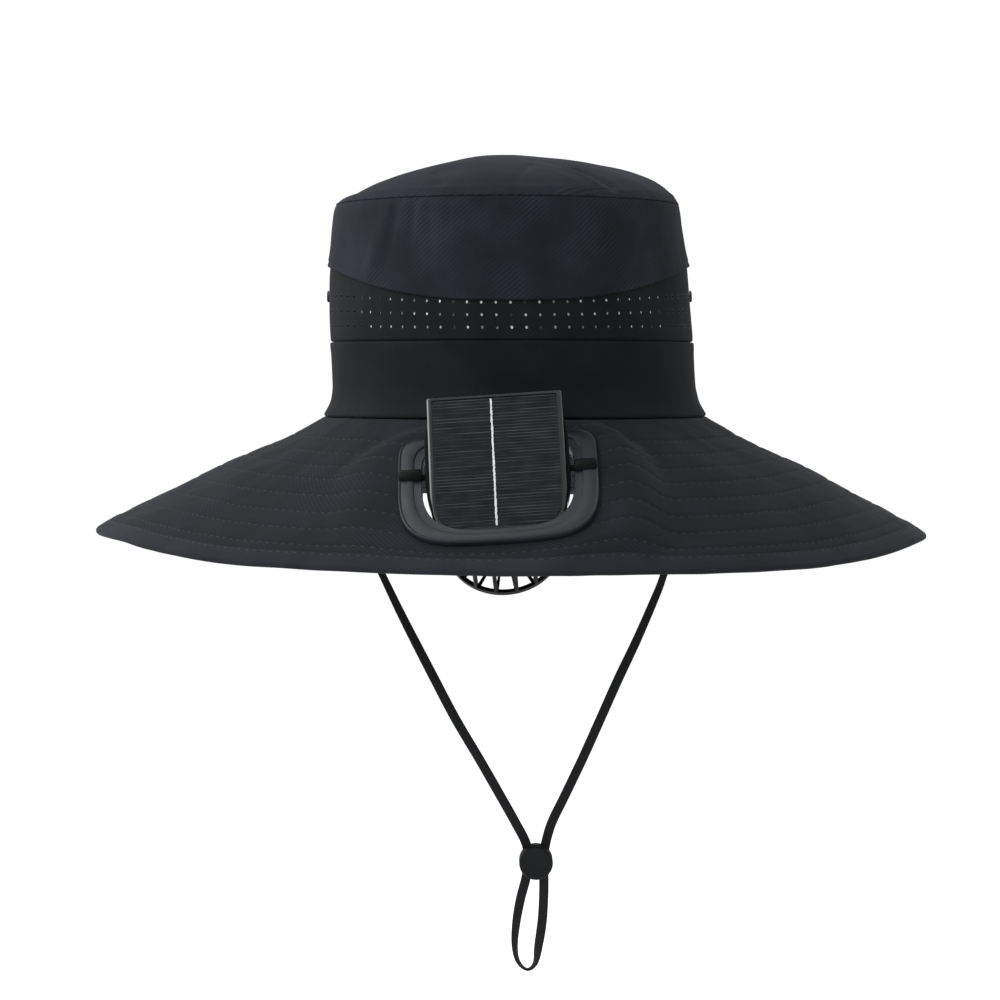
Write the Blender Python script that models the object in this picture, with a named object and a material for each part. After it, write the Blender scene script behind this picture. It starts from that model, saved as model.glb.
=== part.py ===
"""Wide-brimmed sun hat with a solar fan set into the front of its brim, and a chin strap.

Metres, +Z up. The origin is the centre of the head opening, level with the seam between
crown and brim. The front of the hat points toward -Y.
"""

import math

import bmesh
import bpy
from mathutils import Matrix, Vector

for old in list(bpy.data.objects):
    bpy.data.objects.remove(old, do_unlink=True)

# Gap kept between pieces that touch
gap = 0.0003

# Straight steps that each round outline is made of
eyelet_steps = 10
pin_steps = 12
knuckle_steps = 10
drum_steps = 28
motor_steps = 16
rotor_steps = 18
stopper_steps = 20
outline_steps = 28

# Crown, measured on its outside
crown_half_width = 0.0853
crown_half_depth = 0.0985
crown_wall_height = 0.0985
dome_height = 0.0235
crown_cloth = 0.0018
crown_front_steps = 20
crown_back_steps = 18

# Seams round the crown: the curved one runs higher at the sides than in front
vent_bottom = 0.0345
vent_top_front = 0.0525
vent_top_side = 0.0700
vent_top_power = 2.8

# Punched holes in the vent band, three rows over the front half
hole_columns = 36
back_columns = 14
hole_radius = 0.0007
hole_pitch_front = 0.0055
hole_pitch_side = 0.0071

# Eyelets on the sides of the crown
eyelet_radius = 0.00275
eyelet_hole_radius = 0.0012
eyelet_height = 0.0010
eyelet_level = 0.0560

# Brim and hem
rim_half_width = 0.1950
rim_half_depth = 0.2050
rim_drop_front = 0.0620
rim_drop_back = 0.0420
rim_tilt = 0.0017
brim_cloth = 0.0020
hem_width = 0.0090
hem_cloth = 0.0030

# Fan ring: lengths in its own plane from the pivot axis, the brim's slope being its tilt.
# The brim's front is as long as the ring and its distance from the hem need.
ring_hem_gap = 0.0116
ring_centre_x = -0.0060
ring_run = 0.0445
ring_roll = math.radians(1.0)
ring_tilt = math.radians(3.8)
ring_half_width = 0.0428
ring_length_up = 0.0295
ring_length_down = 0.0517
ring_opening_half_width = 0.0326
ring_opening_up = 0.0240
ring_opening_down = 0.0425
ring_height = 0.0021
ring_step = 0.0006
pivot_lift = 0.0010
collar_share = 0.27
clamp_height = 0.0022
clamp_inset = 0.0010

# How the cloth lies flat round the ring and eases back into the brim
flat_reach = 0.0090
flat_corner = 3.4
flat_fade = 0.45
flat_seam_share = 0.11
flat_rim_share = 0.16
brim_tuck_share = 0.8
brim_front_steps = 20
brim_back_steps = 30
brim_front_half = math.radians(42)

# Pivots
pin_radius = 0.0015
knuckle_radius = 0.0040
knuckle_length = 0.0096

# Fan module, leaning forward from the ring's plane about the pivots
module_lean = math.radians(22.4)
housing_wall = 0.0016
side_slit = 0.0016
tray_up = 0.0310
tray_front = 0.0032
tray_back = 0.0016
drum_radius = 0.0270
drum_offset = 0.0085
drum_depth = 0.0215
grille_depth = 0.0208
grille_ribs = 18
grille_hub_radius = 0.0105
rib_share = 0.18

# Motor and rotor
motor_radius = 0.0095
motor_length = 0.0190
shaft_radius = 0.0010
shaft_length = 0.0070
rotor_gap = 0.0010
rotor_hub_radius = 0.0110
rotor_hub_length = 0.0100
blade_count = 7
blade_width = 0.0105
blade_thickness = 0.0010
blade_pitch = math.radians(38)
tip_clearance = 0.0013

# Solar panel and its cell
panel_half_width = 0.0292
panel_up = 0.0375
panel_down = 0.0335
panel_thickness = 0.0030
panel_bevel = 0.0009
panel_border = 0.0012
cell_recess = 0.0010
cell_thickness = 0.0005

# Chin strap and stopper
strap_width = 0.0045
strap_thickness = 0.0010
stopper_x = 0.0118
stopper_z = -0.2110
stopper_radius = 0.0080
stopper_depth = 0.0090
slot_half_width = 0.0066
slot_half_depth = 0.0010
button_radius = 0.0080
button_cap = 0.0024
button_travel = 0.0020
button_stem_radius = 0.0030

# Outer wall of the crown, from the brim seam to the top seam. Columns: height as a share of
# the wall's height, then half width and half depth as shares of the crown's, then the
# sideways lean of the section as a share of the half width.
crown_sections = (
    (0.00, 1.058, 1.046, 0.022),
    (0.04, 1.033, 1.027, 0.022),
    (0.08, 1.015, 1.013, 0.021),
    (0.15, 1.002, 1.002, 0.016),
    (0.35, 0.998, 1.000, 0.004),
    (0.54, 0.992, 0.994, -0.008),
    (0.68, 0.988, 0.988, -0.012),
    (0.82, 0.977, 0.976, -0.018),
    (0.92, 0.963, 0.962, -0.022),
    (0.96, 0.957, 0.956, -0.022),
    (1.00, 0.943, 0.944, -0.020),
)

# Soft dents and folds of the wall. Columns: degrees from the front toward +X, height share,
# spread in degrees, spread in height, depth as a share of the half width, outward positive.
wall_folds = (
    (-28, 0.45, 9, 0.35, -0.008),
    (-12, 0.55, 8, 0.40, 0.006),
    (24, 0.40, 10, 0.40, -0.007),
    (48, 0.75, 10, 0.20, -0.012),
    (140, 0.50, 18, 0.40, -0.014),
    (-150, 0.50, 18, 0.40, -0.012),
)

# Dome of the crown. Columns: radius share, then height as a share of the dome's.
dome_sections = (
    (1.00, 0.00),
    (0.965, 0.14),
    (0.83, 0.435),
    (0.57, 0.735),
    (0.26, 0.92),
    (0.00, 1.00),
)

# Where the dome sinks or swells. Columns: place across and along as shares of the crown,
# spread as a share, depth as a share of the dome's height, upward positive.
dome_dents = (
    (-0.68, 0.00, 0.33, -0.22),
    (0.78, 0.00, 0.25, 0.08),
    (0.34, -0.52, 0.14, -0.06),
    (-0.30, -0.62, 0.12, -0.05),
    (0.05, 0.55, 0.30, -0.06),
)

# Fall of the brim from seam to rim. Columns: share of the way out, share of the drop.
brim_sections = (
    (0.00, 0.00),
    (0.14, 0.160),
    (0.30, 0.302),
    (0.47, 0.448),
    (0.68, 0.658),
    (0.89, 0.868),
    (1.00, 1.000),
)

# Drop of the rim round the hat. Columns: degrees from the front, then how much of the
# difference between the front's drop and the back's is left.
rim_drops = (
    (0, 1.00),
    (37, 0.94),
    (55, 0.78),
    (66, 0.67),
    (90, 0.60),
    (135, 0.28),
    (180, 0.00),
)

# Shallow waves of the rim. Columns: degrees from the front toward +X, lift as a share of
# the front's drop, spread in degrees.
rim_waves = (
    (-62, 0.012, 13),
    (-96, -0.010, 14),
    (50, -0.008, 14),
    (74, 0.016, 9),
    (128, 0.030, 22),
    (-140, 0.026, 24),
)

# Corners of the superellipses that outline the fan parts, larger being squarer
ring_corner_up = 7.0
ring_corner_down = 3.8
lip_corner_up = 4.0
lip_corner_down = 3.2
tray_corner_up = 6.0
tray_corner_down = 2.7
panel_corner_up = 60.0
panel_corner_down = 6.0

# Route of the chin strap, chosen by hand, from its left end to its right end. Columns: x
# and z in metres, then the ribbon's turn in degrees, 0 edge-on to the front, 90 facing it.
strap_route = (
    (-0.0823, 0.0090, 0),
    (-0.0832, 0.0000, 0),
    (-0.0840, -0.0100, 5),
    (-0.0825, -0.0240, 12),
    (-0.0763, -0.0410, 20),
    (-0.0680, -0.0600, 30),
    (-0.0597, -0.0776, 40),
    (-0.0506, -0.0965, 55),
    (-0.0361, -0.1248, 75),
    (-0.0262, -0.1437, 85),
    (-0.0151, -0.1625, 90),
    (-0.0043, -0.1814, 90),
    (0.0030, -0.1945, 90),
    (0.0072, -0.2030, 90),
    (0.0082, -0.2110, 90),
    (0.0072, -0.2190, 90),
    (0.0046, -0.2290, 80),
    (0.0026, -0.2400, 60),
    (0.0018, -0.2510, 35),
    (0.0033, -0.2590, 15),
    (0.0076, -0.2630, 0),
    (0.0115, -0.2600, 20),
    (0.0131, -0.2515, 60),
    (0.0148, -0.2400, 85),
    (0.0155, -0.2286, 90),
    (0.0156, -0.2190, 90),
    (0.0154, -0.2110, 90),
    (0.0164, -0.2030, 90),
    (0.0193, -0.1930, 90),
    (0.0249, -0.1814, 90),
    (0.0339, -0.1625, 90),
    (0.0423, -0.1437, 85),
    (0.0507, -0.1248, 75),
    (0.0596, -0.1059, 60),
    (0.0677, -0.0871, 48),
    (0.0714, -0.0776, 40),
    (0.0786, -0.0550, 28),
    (0.0835, -0.0340, 15),
    (0.0860, -0.0160, 5),
    (0.0866, -0.0030, 0),
    (0.0852, 0.0090, 0),
)


# Small helpers


def make_material(name, colour, roughness, metallic=0.0):
    material = bpy.data.materials.new(name)
    material.use_nodes = True
    shader = material.node_tree.nodes["Principled BSDF"]
    shader.inputs["Base Color"].default_value = (*colour, 1.0)
    shader.inputs["Roughness"].default_value = roughness
    shader.inputs["Metallic"].default_value = metallic
    material.diffuse_color = (*colour, 1.0)
    return material


def smooth_step(value):
    value = min(1.0, max(0.0, value))
    return value * value * (3.0 - 2.0 * value)


def read_table(rows, place, column):
    """Value in a column where the first column reaches a place, eased between the rows."""
    if place <= rows[0][0]:
        return rows[0][column]
    for low, high in zip(rows, rows[1:]):
        if place <= high[0]:
            share = (place - low[0]) / (high[0] - low[0])
            return low[column] + share * (high[column] - low[column])
    return rows[-1][column]


def turn_between(first, second):
    """Angle from one direction to another, within half a turn."""
    return (second - first + math.pi) % (2.0 * math.pi) - math.pi


def bump(distance, spread):
    return math.exp(-((distance / spread) ** 2))


def round_angles(front_count, back_count, front_half):
    """Angles once round the hat, with front_count steps between -front_half and front_half."""
    front_step = 2.0 * front_half / front_count
    back_step = 2.0 * (math.pi - front_half) / back_count
    front = [-front_half + front_step * step for step in range(front_count)]
    back = [front_half + back_step * step for step in range(back_count)]
    return front + back


def add_object(name, points, faces, material, frame=None):
    mesh = bpy.data.meshes.new(name)
    mesh.from_pydata([tuple(point) for point in points], [], faces)
    shaped = bmesh.new()
    shaped.from_mesh(mesh)
    bmesh.ops.recalc_face_normals(shaped, faces=shaped.faces)
    shaped.to_mesh(mesh)
    shaped.free()
    mesh.shade_smooth()
    mesh.set_sharp_from_angle(angle=math.radians(35))
    mesh.materials.append(material)
    made = bpy.data.objects.new(name, mesh)
    bpy.context.collection.objects.link(made)
    if frame is not None:
        made.matrix_world = frame
    return made


def as_cutter(made):
    made.hide_render = True
    made.display_type = "WIRE"
    return made


def combine(target, other, operation):
    step = target.modifiers.new(other.name, "BOOLEAN")
    step.operation = operation
    step.object = other
    as_cutter(other)


def loop_solid(name, loops, material, frame=None):
    """Solid whose section is a closed ring of point loops, such as a band or a hem."""
    count = len(loops[0])
    points = [point for loop in loops for point in loop]
    faces = []
    for row in range(len(loops)):
        after = (row + 1) % len(loops)
        for column in range(count):
            beside = (column + 1) % count
            faces.append(
                (row * count + column, row * count + beside, after * count + beside, after * count + column)
            )
    return add_object(name, points, faces, material, frame)


def capped_solid(name, loops, material, frame=None):
    """Solid between point loops, closed at both ends. A loop of one point is a pole."""
    points = []
    starts = []
    for loop in loops:
        starts.append(len(points))
        points.extend(loop)
    faces = []
    for row in range(len(loops) - 1):
        low, high = loops[row], loops[row + 1]
        count = max(len(low), len(high))
        for column in range(count):
            beside = (column + 1) % count
            face = [starts[row] + column % len(low), starts[row] + beside % len(low)]
            face += [starts[row + 1] + beside % len(high), starts[row + 1] + column % len(high)]
            faces.append(tuple(dict.fromkeys(face)))
    if len(loops[0]) > 1:
        faces.append(tuple(range(starts[0], starts[0] + len(loops[0])))[::-1])
    if len(loops[-1]) > 1:
        faces.append(tuple(range(starts[-1], starts[-1] + len(loops[-1]))))
    return add_object(name, points, faces, material, frame)


def circle(radius, level, count, centre_y=0.0):
    step = 2.0 * math.pi / count
    return [
        Vector((radius * math.cos(step * turn), centre_y + radius * math.sin(step * turn), level))
        for turn in range(count)
    ]


def turned_solid(name, profile, count, material, frame=None):
    """Round solid about Z from (radius, height) pairs, a radius of 0 being a pole."""
    loops = []
    for radius, level in profile:
        loops.append([Vector((0.0, 0.0, level))] if radius == 0.0 else circle(radius, level, count))
    return capped_solid(name, loops, material, frame)


# Crown


def crown_point(angle, height):
    """Outside of the crown's wall, angle from the front toward +X."""
    share = height / crown_wall_height
    width = crown_half_width * read_table(crown_sections, share, 1)
    depth = crown_half_depth * read_table(crown_sections, share, 2)
    lean = crown_half_width * read_table(crown_sections, share, 3)
    swell = 1.0
    for degrees, level, spread, rise, push in wall_folds:
        away = math.degrees(turn_between(math.radians(degrees), angle))
        swell += push * bump(away, spread) * bump(share - level, rise)
    return Vector((lean + width * swell * math.sin(angle), -depth * swell * math.cos(angle), height))


def crown_normal(angle, height):
    step = 0.001
    across = crown_point(angle + step, height) - crown_point(angle - step, height)
    low = crown_point(angle, max(height - step, 0.0))
    high = crown_point(angle, min(height + step, crown_wall_height))
    return across.cross(high - low).normalized()


def crown_wall_point(angle, height, depth):
    """Point in the crown's cloth, depth being measured inward from its outside."""
    inward = -depth * crown_normal(angle, height)
    inward.z = 0.0
    return crown_point(angle, height) + inward


def vent_top(angle):
    side = abs(math.sin(angle)) ** vent_top_power
    return vent_top_front + (vent_top_side - vent_top_front) * side


def hole_pitch(angle):
    side = math.sin(angle) ** 2
    return hole_pitch_front + (hole_pitch_side - hole_pitch_front) * side


def crown_angles():
    return round_angles(crown_front_steps, crown_back_steps, math.pi / 2.0)


def wall_band(name, angles, levels, material):
    """Closed band of crown cloth. Each level is a function from angle to height."""
    outside = [[crown_wall_point(a, level(a), 0.0) for a in angles] for level in levels]
    inside = [[crown_wall_point(a, level(a), crown_cloth) for a in angles] for level in levels]
    return loop_solid(name, outside + inside[::-1], material)


def make_crown_base(material):
    shares = (0.0, 0.04, 0.10)
    levels = [lambda a, s=share: gap + s * crown_wall_height for share in shares]
    levels.append(lambda a: vent_bottom - gap / 2.0)
    return wall_band("crown_base", crown_angles(), levels, material)


def make_crown_side(material):
    shares = (0.0, 0.40, 0.78, 0.92)
    end = crown_wall_height - gap / 2.0

    def level_at(share):
        return lambda a: vent_top(a) + gap / 2.0 + share * (end - vent_top(a) - gap / 2.0)

    levels = [level_at(share) for share in shares] + [lambda a: end]
    return wall_band("crown_side", crown_angles(), levels, material)


def make_crown_top(material):
    angles = crown_angles()
    seam = [crown_point(a, crown_wall_height) for a in angles]
    middle = sum(seam, Vector()) / len(seam)
    level = crown_wall_height + gap / 2.0

    def dome_loop(radius, rise, depth):
        loop = []
        for point in seam:
            across = radius * (point.x - middle.x)
            along = radius * (point.y - middle.y)
            swell = rise
            for x_share, y_share, spread, push in dome_dents:
                aside = across / crown_half_width - x_share
                ahead = along / crown_half_depth - y_share
                swell += push * bump(math.hypot(aside, ahead), spread) * min(1.0, 4.0 * rise)
            loop.append(Vector((middle.x + across, middle.y + along, level + dome_height * swell - depth)))
        return loop

    rows = dome_sections[:-1]
    outside = [dome_loop(radius, rise, 0.0) for radius, rise in rows]
    inset = 1.0 - crown_cloth / crown_half_width
    inside = [dome_loop(inset * radius, rise, crown_cloth * min(1.0, 4.0 * rise)) for radius, rise in rows]
    top = [dome_loop(0.0, dome_sections[-1][1], 0.0)[0]]
    under = [dome_loop(0.0, dome_sections[-1][1], crown_cloth)[0]]
    return capped_solid("crown_top", [under] + inside[::-1] + outside + [top], material)


def make_vent_band(material):
    angles = round_angles(hole_columns, back_columns, math.pi / 2.0)
    low = vent_bottom + gap / 2.0

    def levels(angle):
        pitch = hole_pitch(angle)
        return [low, low + 0.5 * pitch, low + 1.5 * pitch, low + 2.5 * pitch, vent_top(angle) - gap / 2.0]

    count = len(angles)
    rows = len(levels(0.0))
    points = []
    for depth in (0.0, crown_cloth):
        for row in range(rows):
            points.extend(crown_wall_point(a, levels(a)[row], depth) for a in angles)
    side = rows * count
    faces = []
    for row in range(rows - 1):
        for column in range(count):
            beside = (column + 1) % count
            corners = [row * count + column, row * count + beside]
            corners += [(row + 1) * count + beside, (row + 1) * count + column]
            if row == 0 or column >= hole_columns:
                faces.append(tuple(corners))
                faces.append(tuple(side + corner for corner in corners[::-1]))
                continue
            angle = angles[column] + math.pi / 2.0 / hole_columns
            level = low + row * hole_pitch(angle)
            turn = hole_radius / crown_point(angle, level).length
            ring = []
            for depth in (0.0, crown_cloth):
                ring.append(len(points))
                points.append(crown_wall_point(angle - turn, level, depth))
                points.append(crown_wall_point(angle, level - hole_radius, depth))
                points.append(crown_wall_point(angle + turn, level, depth))
                points.append(crown_wall_point(angle, level + hole_radius, depth))
            for layer, start in enumerate(ring):
                edge = [layer * side + corner for corner in corners]
                for corner in range(4):
                    after = (corner + 1) % 4
                    faces.append((edge[corner], edge[after], start + after))
                    faces.append((edge[corner], start + after, start + corner))
            for corner in range(4):
                after = (corner + 1) % 4
                faces.append((ring[0] + corner, ring[0] + after, ring[1] + after, ring[1] + corner))
    for column in range(count):
        beside = (column + 1) % count
        last = (rows - 1) * count
        faces.append((column, side + column, side + beside, beside))
        faces.append((last + column, last + beside, side + last + beside, side + last + column))
    return add_object("vent_band", points, faces, material)


def make_eyelet(name, side, material):
    angle = side * math.pi / 2.0
    normal = crown_normal(angle, eyelet_level)
    foot = crown_point(angle, eyelet_level) + gap * normal
    frame = Matrix.Translation(foot) @ normal.to_track_quat("Z", "Y").to_matrix().to_4x4()
    edge = 0.7 * eyelet_height
    section = (
        (eyelet_hole_radius, 0.0),
        (eyelet_radius, 0.0),
        (eyelet_radius, edge),
        (0.8 * eyelet_radius, eyelet_height),
        (1.3 * eyelet_hole_radius, eyelet_height),
        (eyelet_hole_radius, edge),
    )
    loops = [circle(radius, level, eyelet_steps) for radius, level in section]
    return loop_solid(name, loops, material, frame)


# Brim

seam_front = crown_half_depth * crown_sections[0][2]
brim_run = ring_run + ring_length_down + ring_hem_gap + hem_width
slope = math.asin(rim_drop_front / brim_run)
rim_front = seam_front + brim_run * math.cos(slope)
rim_shift_back = rim_half_depth - rim_front
seat_frame = (
    Matrix.Translation((ring_centre_x, -seam_front, 0.0))
    @ Matrix.Rotation(slope, 4, "X")
    @ Matrix.Translation((0.0, -ring_run, 0.0))
    @ Matrix.Rotation(ring_roll, 4, "Z")
    @ Matrix.Rotation(-ring_tilt, 4, "Y")
)
ring_middle = (ring_length_down - ring_length_up) / 2.0
ring_half_length = (ring_length_down + ring_length_up) / 2.0


def rim_point(angle):
    degrees = abs(math.degrees(turn_between(0.0, angle)))
    share = read_table(rim_drops, degrees, 1)
    drop = rim_drop_back + share * (rim_drop_front - rim_drop_back)
    lift = -rim_tilt * math.sin(angle)
    for place, height, spread in rim_waves:
        away = math.degrees(turn_between(math.radians(place), angle))
        lift += height * rim_drop_front * bump(away, spread)
    across = rim_half_width * math.sin(angle)
    return Vector((across, rim_shift_back - rim_half_depth * math.cos(angle), lift - drop))


def flatness(across, forward):
    """1 where the ring holds the cloth flat, easing to 0 past it."""
    run = (forward - seam_front) / math.cos(slope) - ring_run - ring_middle
    aside = (across - ring_centre_x) / (ring_half_width + flat_reach)
    ahead = run / (ring_half_length + flat_reach)
    distance = (abs(aside) ** flat_corner + abs(ahead) ** flat_corner) ** (1.0 / flat_corner)
    return 1.0 - smooth_step((distance - 1.0) / flat_fade)


def seat_level(across, along):
    """Height of the plane that the ring holds the cloth in."""
    origin = seat_frame.translation
    normal = seat_frame.col[2]
    return origin.z - ((across - origin.x) * normal.x + (along - origin.y) * normal.y) / normal.z


def brim_point(angle, out):
    """Top of the brim, out being 0 at the seam and 1 at the rim."""
    inner = crown_point(angle, 0.0) - brim_tuck_share * crown_cloth * crown_normal(angle, 0.0)
    inner.z = 0.0
    outer = rim_point(angle)
    point = inner + out * (outer - inner)
    point.z = outer.z * read_table(brim_sections, out, 1)
    flat = flatness(point.x, -point.y)
    flat *= smooth_step(out / flat_seam_share) * smooth_step((1.0 - out) / flat_rim_share)
    point.z += flat * (seat_level(point.x, point.y) - point.z)
    return point


def brim_normal(angle, out):
    step = 0.002
    across = brim_point(angle + step, out) - brim_point(angle - step, out)
    outward = brim_point(angle, min(out + step, 1.0)) - brim_point(angle, max(out - step, 0.0))
    return outward.cross(across).normalized()


def brim_layer(angles, out, depth):
    return [brim_point(a, out(a)) - depth * brim_normal(a, out(a)) for a in angles]


def brim_width(angle):
    return (brim_point(angle, 1.0) - brim_point(angle, 0.0)).length


brim_angles = round_angles(brim_front_steps, brim_back_steps, brim_front_half)


def make_brim(material):
    shares = (0.0, 0.08, 0.17, 0.33, 0.52, 0.72, 0.90, 1.0)

    def out_at(share):
        return lambda a: share * (1.0 - (hem_width + gap) / brim_width(a))

    outs = [out_at(share) for share in shares]
    top = [brim_layer(brim_angles, out, 0.0) for out in outs]
    under = [brim_layer(brim_angles, out, brim_cloth) for out in outs]
    return loop_solid("brim", top + under[::-1], material)


def make_brim_hem(material):
    proud = (hem_cloth - brim_cloth) / 2.0
    section = (
        (0.0, -proud),
        (0.86, -proud),
        (1.0, 0.2 * hem_cloth - proud),
        (1.0, 0.8 * hem_cloth - proud),
        (0.86, hem_cloth - proud),
        (0.0, hem_cloth - proud),
    )
    loops = []
    for share, depth in section:
        out = lambda a, s=share: 1.0 - (1.0 - s) * hem_width / brim_width(a)
        loops.append(brim_layer(brim_angles, out, depth))
    return loop_solid("brim_hem", loops, material)


# Fan ring, in a frame whose X runs along the pivots, Y up the slope and Z out of the brim

ring_frame = seat_frame @ Matrix.Translation((0.0, 0.0, pivot_lift))
module_frame = ring_frame @ Matrix.Rotation(module_lean, 4, "X")


def outline(half_width, up, down, corner_up, corner_down, level):
    """Superellipse, squarer or rounder above and below its middle line."""
    loop = []
    for step in range(outline_steps):
        turn = 2.0 * math.pi * (step + 0.5) / outline_steps
        upper = math.sin(turn) > 0.0
        power = 2.0 / (corner_up if upper else corner_down)
        across = math.copysign(abs(math.cos(turn)) ** power, math.cos(turn))
        along = abs(math.sin(turn)) ** power
        loop.append(Vector((half_width * across, up * along if upper else -down * along, level)))
    return loop


def ring_outline(share, level, lip=False):
    """Loop between the opening, share 0, and the ring's outer edge, share 1."""
    corners = (lip_corner_up, lip_corner_down) if lip else (ring_corner_up, ring_corner_down)
    outer_corners = (ring_corner_up, ring_corner_down)
    outer = outline(ring_half_width, ring_length_up, ring_length_down, *outer_corners, level)
    inner = outline(ring_opening_half_width, ring_opening_up, ring_opening_down, *corners, level)
    return [low.lerp(high, share) for low, high in zip(inner, outer)]


flange_under = gap - pivot_lift
flange_top = flange_under + ring_height
clamp_top = -pivot_lift - brim_cloth - gap
collar_under = clamp_top - clamp_height


def make_fan_ring(material):
    section = (
        (0.00, flange_top - ring_step, True),
        (0.34, flange_top - ring_step, True),
        (0.37, flange_top, True),
        (0.92, flange_top, False),
        (1.00, flange_top - ring_step, False),
        (1.00, flange_under, False),
        (collar_share, flange_under, False),
        (collar_share, collar_under, False),
        (0.00, collar_under, False),
        (0.00, flange_under, True),
    )
    loops = [ring_outline(share, level, lip) for share, level, lip in section]
    ring = loop_solid("fan_ring", loops, material, ring_frame)
    for side in (-1, 1):
        combine(ring, make_knuckle(side, material), "UNION")
    for side in (-1, 1):
        combine(ring, make_bore(side, material), "DIFFERENCE")
    return ring


def make_knuckle(side, material):
    """Raised half round over each pivot, flat where it meets the brim."""
    start = ring_opening_half_width + gap
    loops = []
    for reach in (start, start + knuckle_length):
        arc = [math.pi * step / knuckle_steps for step in range(knuckle_steps + 1)]
        loop = []
        for turn in arc:
            along, up = knuckle_radius * math.cos(turn), knuckle_radius * math.sin(turn)
            loop.append(Vector((side * reach, along, up)))
        loop[0].z = flange_under
        loop[-1].z = flange_under
        loops.append(loop)
    return capped_solid("knuckle_right" if side > 0 else "knuckle_left", loops, material, ring_frame)


def collar_outer():
    return ring_opening_half_width + collar_share * (ring_half_width - ring_opening_half_width)


def pivot_rod(name, side, radius, start, end, material, frame):
    loops = []
    for reach in (start, end):
        arc = [2.0 * math.pi * (step + 0.5) / pin_steps for step in range(pin_steps)]
        loops.append([Vector((side * reach, radius * math.cos(a), radius * math.sin(a))) for a in arc])
    return capped_solid(name, loops, material, frame)


def make_bore(side, material):
    name = "bore_right" if side > 0 else "bore_left"
    start = ring_opening_half_width - side_slit
    end = collar_outer() - gap
    return pivot_rod(name, side, pin_radius + gap, start, end, material, ring_frame)


def make_ring_clamp(material):
    inner = collar_share + gap / (ring_half_width - ring_opening_half_width)
    outer = 1.0 - clamp_inset / (ring_half_width - ring_opening_half_width)
    section = ((inner, clamp_top), (outer, clamp_top), (outer, collar_under), (inner, collar_under))
    loops = [ring_outline(share, level) for share, level in section]
    return loop_solid("ring_clamp", loops, material, ring_frame)


def cut_ring_hole(brim, material):
    share = collar_share + 1.4 * gap / (ring_half_width - ring_opening_half_width)
    depth = brim_cloth + pivot_lift
    loops = [ring_outline(share, -2.0 * depth), ring_outline(share, depth)]
    combine(brim, capped_solid("ring_hole", loops, material, ring_frame), "DIFFERENCE")


# Fan module, in the ring's frame turned about the pivots: Z points out of the panel

tray_half_width = ring_opening_half_width - side_slit
tray_down = drum_offset + drum_radius + gap
drum_frame = module_frame @ Matrix.Translation((0.0, -drum_offset, 0.0))
drum_end = -tray_back - drum_depth


def tray_outline(inset, level):
    return outline(
        tray_half_width - inset, tray_up - inset, tray_down - inset, tray_corner_up, tray_corner_down, level
    )


def make_fan_housing(material):
    loops = [tray_outline(0.0, -tray_back), tray_outline(0.0, tray_front)]
    housing = capped_solid("fan_housing", loops, material, module_frame)
    drum = turned_solid(
        "drum", ((drum_radius, drum_end), (drum_radius, -tray_back / 2.0)), drum_steps, material, drum_frame
    )
    pocket_floor = housing_wall - gap - tray_back
    pocket = capped_solid(
        "pocket",
        [tray_outline(housing_wall, pocket_floor), tray_outline(housing_wall, 2.0 * tray_front)],
        material,
        module_frame,
    )
    inner = drum_radius - housing_wall
    cavity = turned_solid(
        "cavity", ((inner, drum_end - drum_depth), (inner, -tray_back)), drum_steps, material, drum_frame
    )
    combine(housing, drum, "UNION")
    combine(housing, pocket, "DIFFERENCE")
    combine(housing, cavity, "DIFFERENCE")
    start = tray_half_width - housing_wall / 2.0
    end = collar_outer() - 2.5 * gap
    for side in (-1, 1):
        name = "pin_right" if side > 0 else "pin_left"
        combine(housing, pivot_rod(name, side, pin_radius, start, end, material, module_frame), "UNION")
    return housing


def make_fan_grille(material):
    """Cage with windows round its side, a solid corner, and ribs to a hub across its end."""
    top = drum_end - gap
    bottom = top - grille_depth
    wall = housing_wall
    outer = (
        (drum_radius, top),
        (drum_radius, top - 0.10 * grille_depth),
        (0.985 * drum_radius, top - 0.82 * grille_depth),
        (0.955 * drum_radius, bottom),
        (0.87 * drum_radius, bottom),
        (grille_hub_radius, bottom),
        (0.0, bottom),
    )
    inner = (
        (drum_radius - wall, top),
        (drum_radius - wall, top - 0.10 * grille_depth),
        (0.985 * drum_radius - wall, top - 0.82 * grille_depth),
        (0.955 * drum_radius - wall, bottom + wall),
        (0.87 * drum_radius, bottom + wall),
        (grille_hub_radius, bottom + wall),
        (0.0, bottom + wall),
    )
    step = 2.0 * math.pi / grille_ribs
    turns = []
    for rib in range(grille_ribs):
        turns += [step * (rib - rib_share / 2.0), step * (rib + rib_share / 2.0)]
    count = len(turns)
    points = []
    for profile in (outer, inner):
        for radius, level in profile[:-1]:
            points.extend(Vector((radius * math.cos(t), radius * math.sin(t), level)) for t in turns)
    rows = len(outer) - 1
    side = rows * count
    outer_pole = len(points)
    points.append(Vector((0.0, 0.0, outer[-1][1])))
    points.append(Vector((0.0, 0.0, inner[-1][1])))
    inner_pole = outer_pole + 1

    window_rows = (1, 4)
    faces = []
    for column in range(count):
        beside = (column + 1) % count
        faces.append((column, beside, side + beside, side + column))
        last = (rows - 1) * count
        faces.append((last + column, last + beside, outer_pole))
        faces.append((side + last + beside, side + last + column, inner_pole))
        for row in range(rows - 1):
            here, there = row * count, (row + 1) * count
            if row in window_rows and column % 2:
                for edge in (here, there):
                    faces.append((edge + column, edge + beside, side + edge + beside, side + edge + column))
                continue
            faces.append((here + column, here + beside, there + beside, there + column))
            inside = (here + beside, here + column, there + column, there + beside)
            faces.append(tuple(side + corner for corner in inside))
            if row in window_rows:
                for edge in (column, beside):
                    faces.append((here + edge, there + edge, side + there + edge, side + here + edge))
    return add_object("fan_grille", points, faces, material, drum_frame)


motor_top = -tray_back - gap
rotor_top = motor_top - motor_length - rotor_gap


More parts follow.
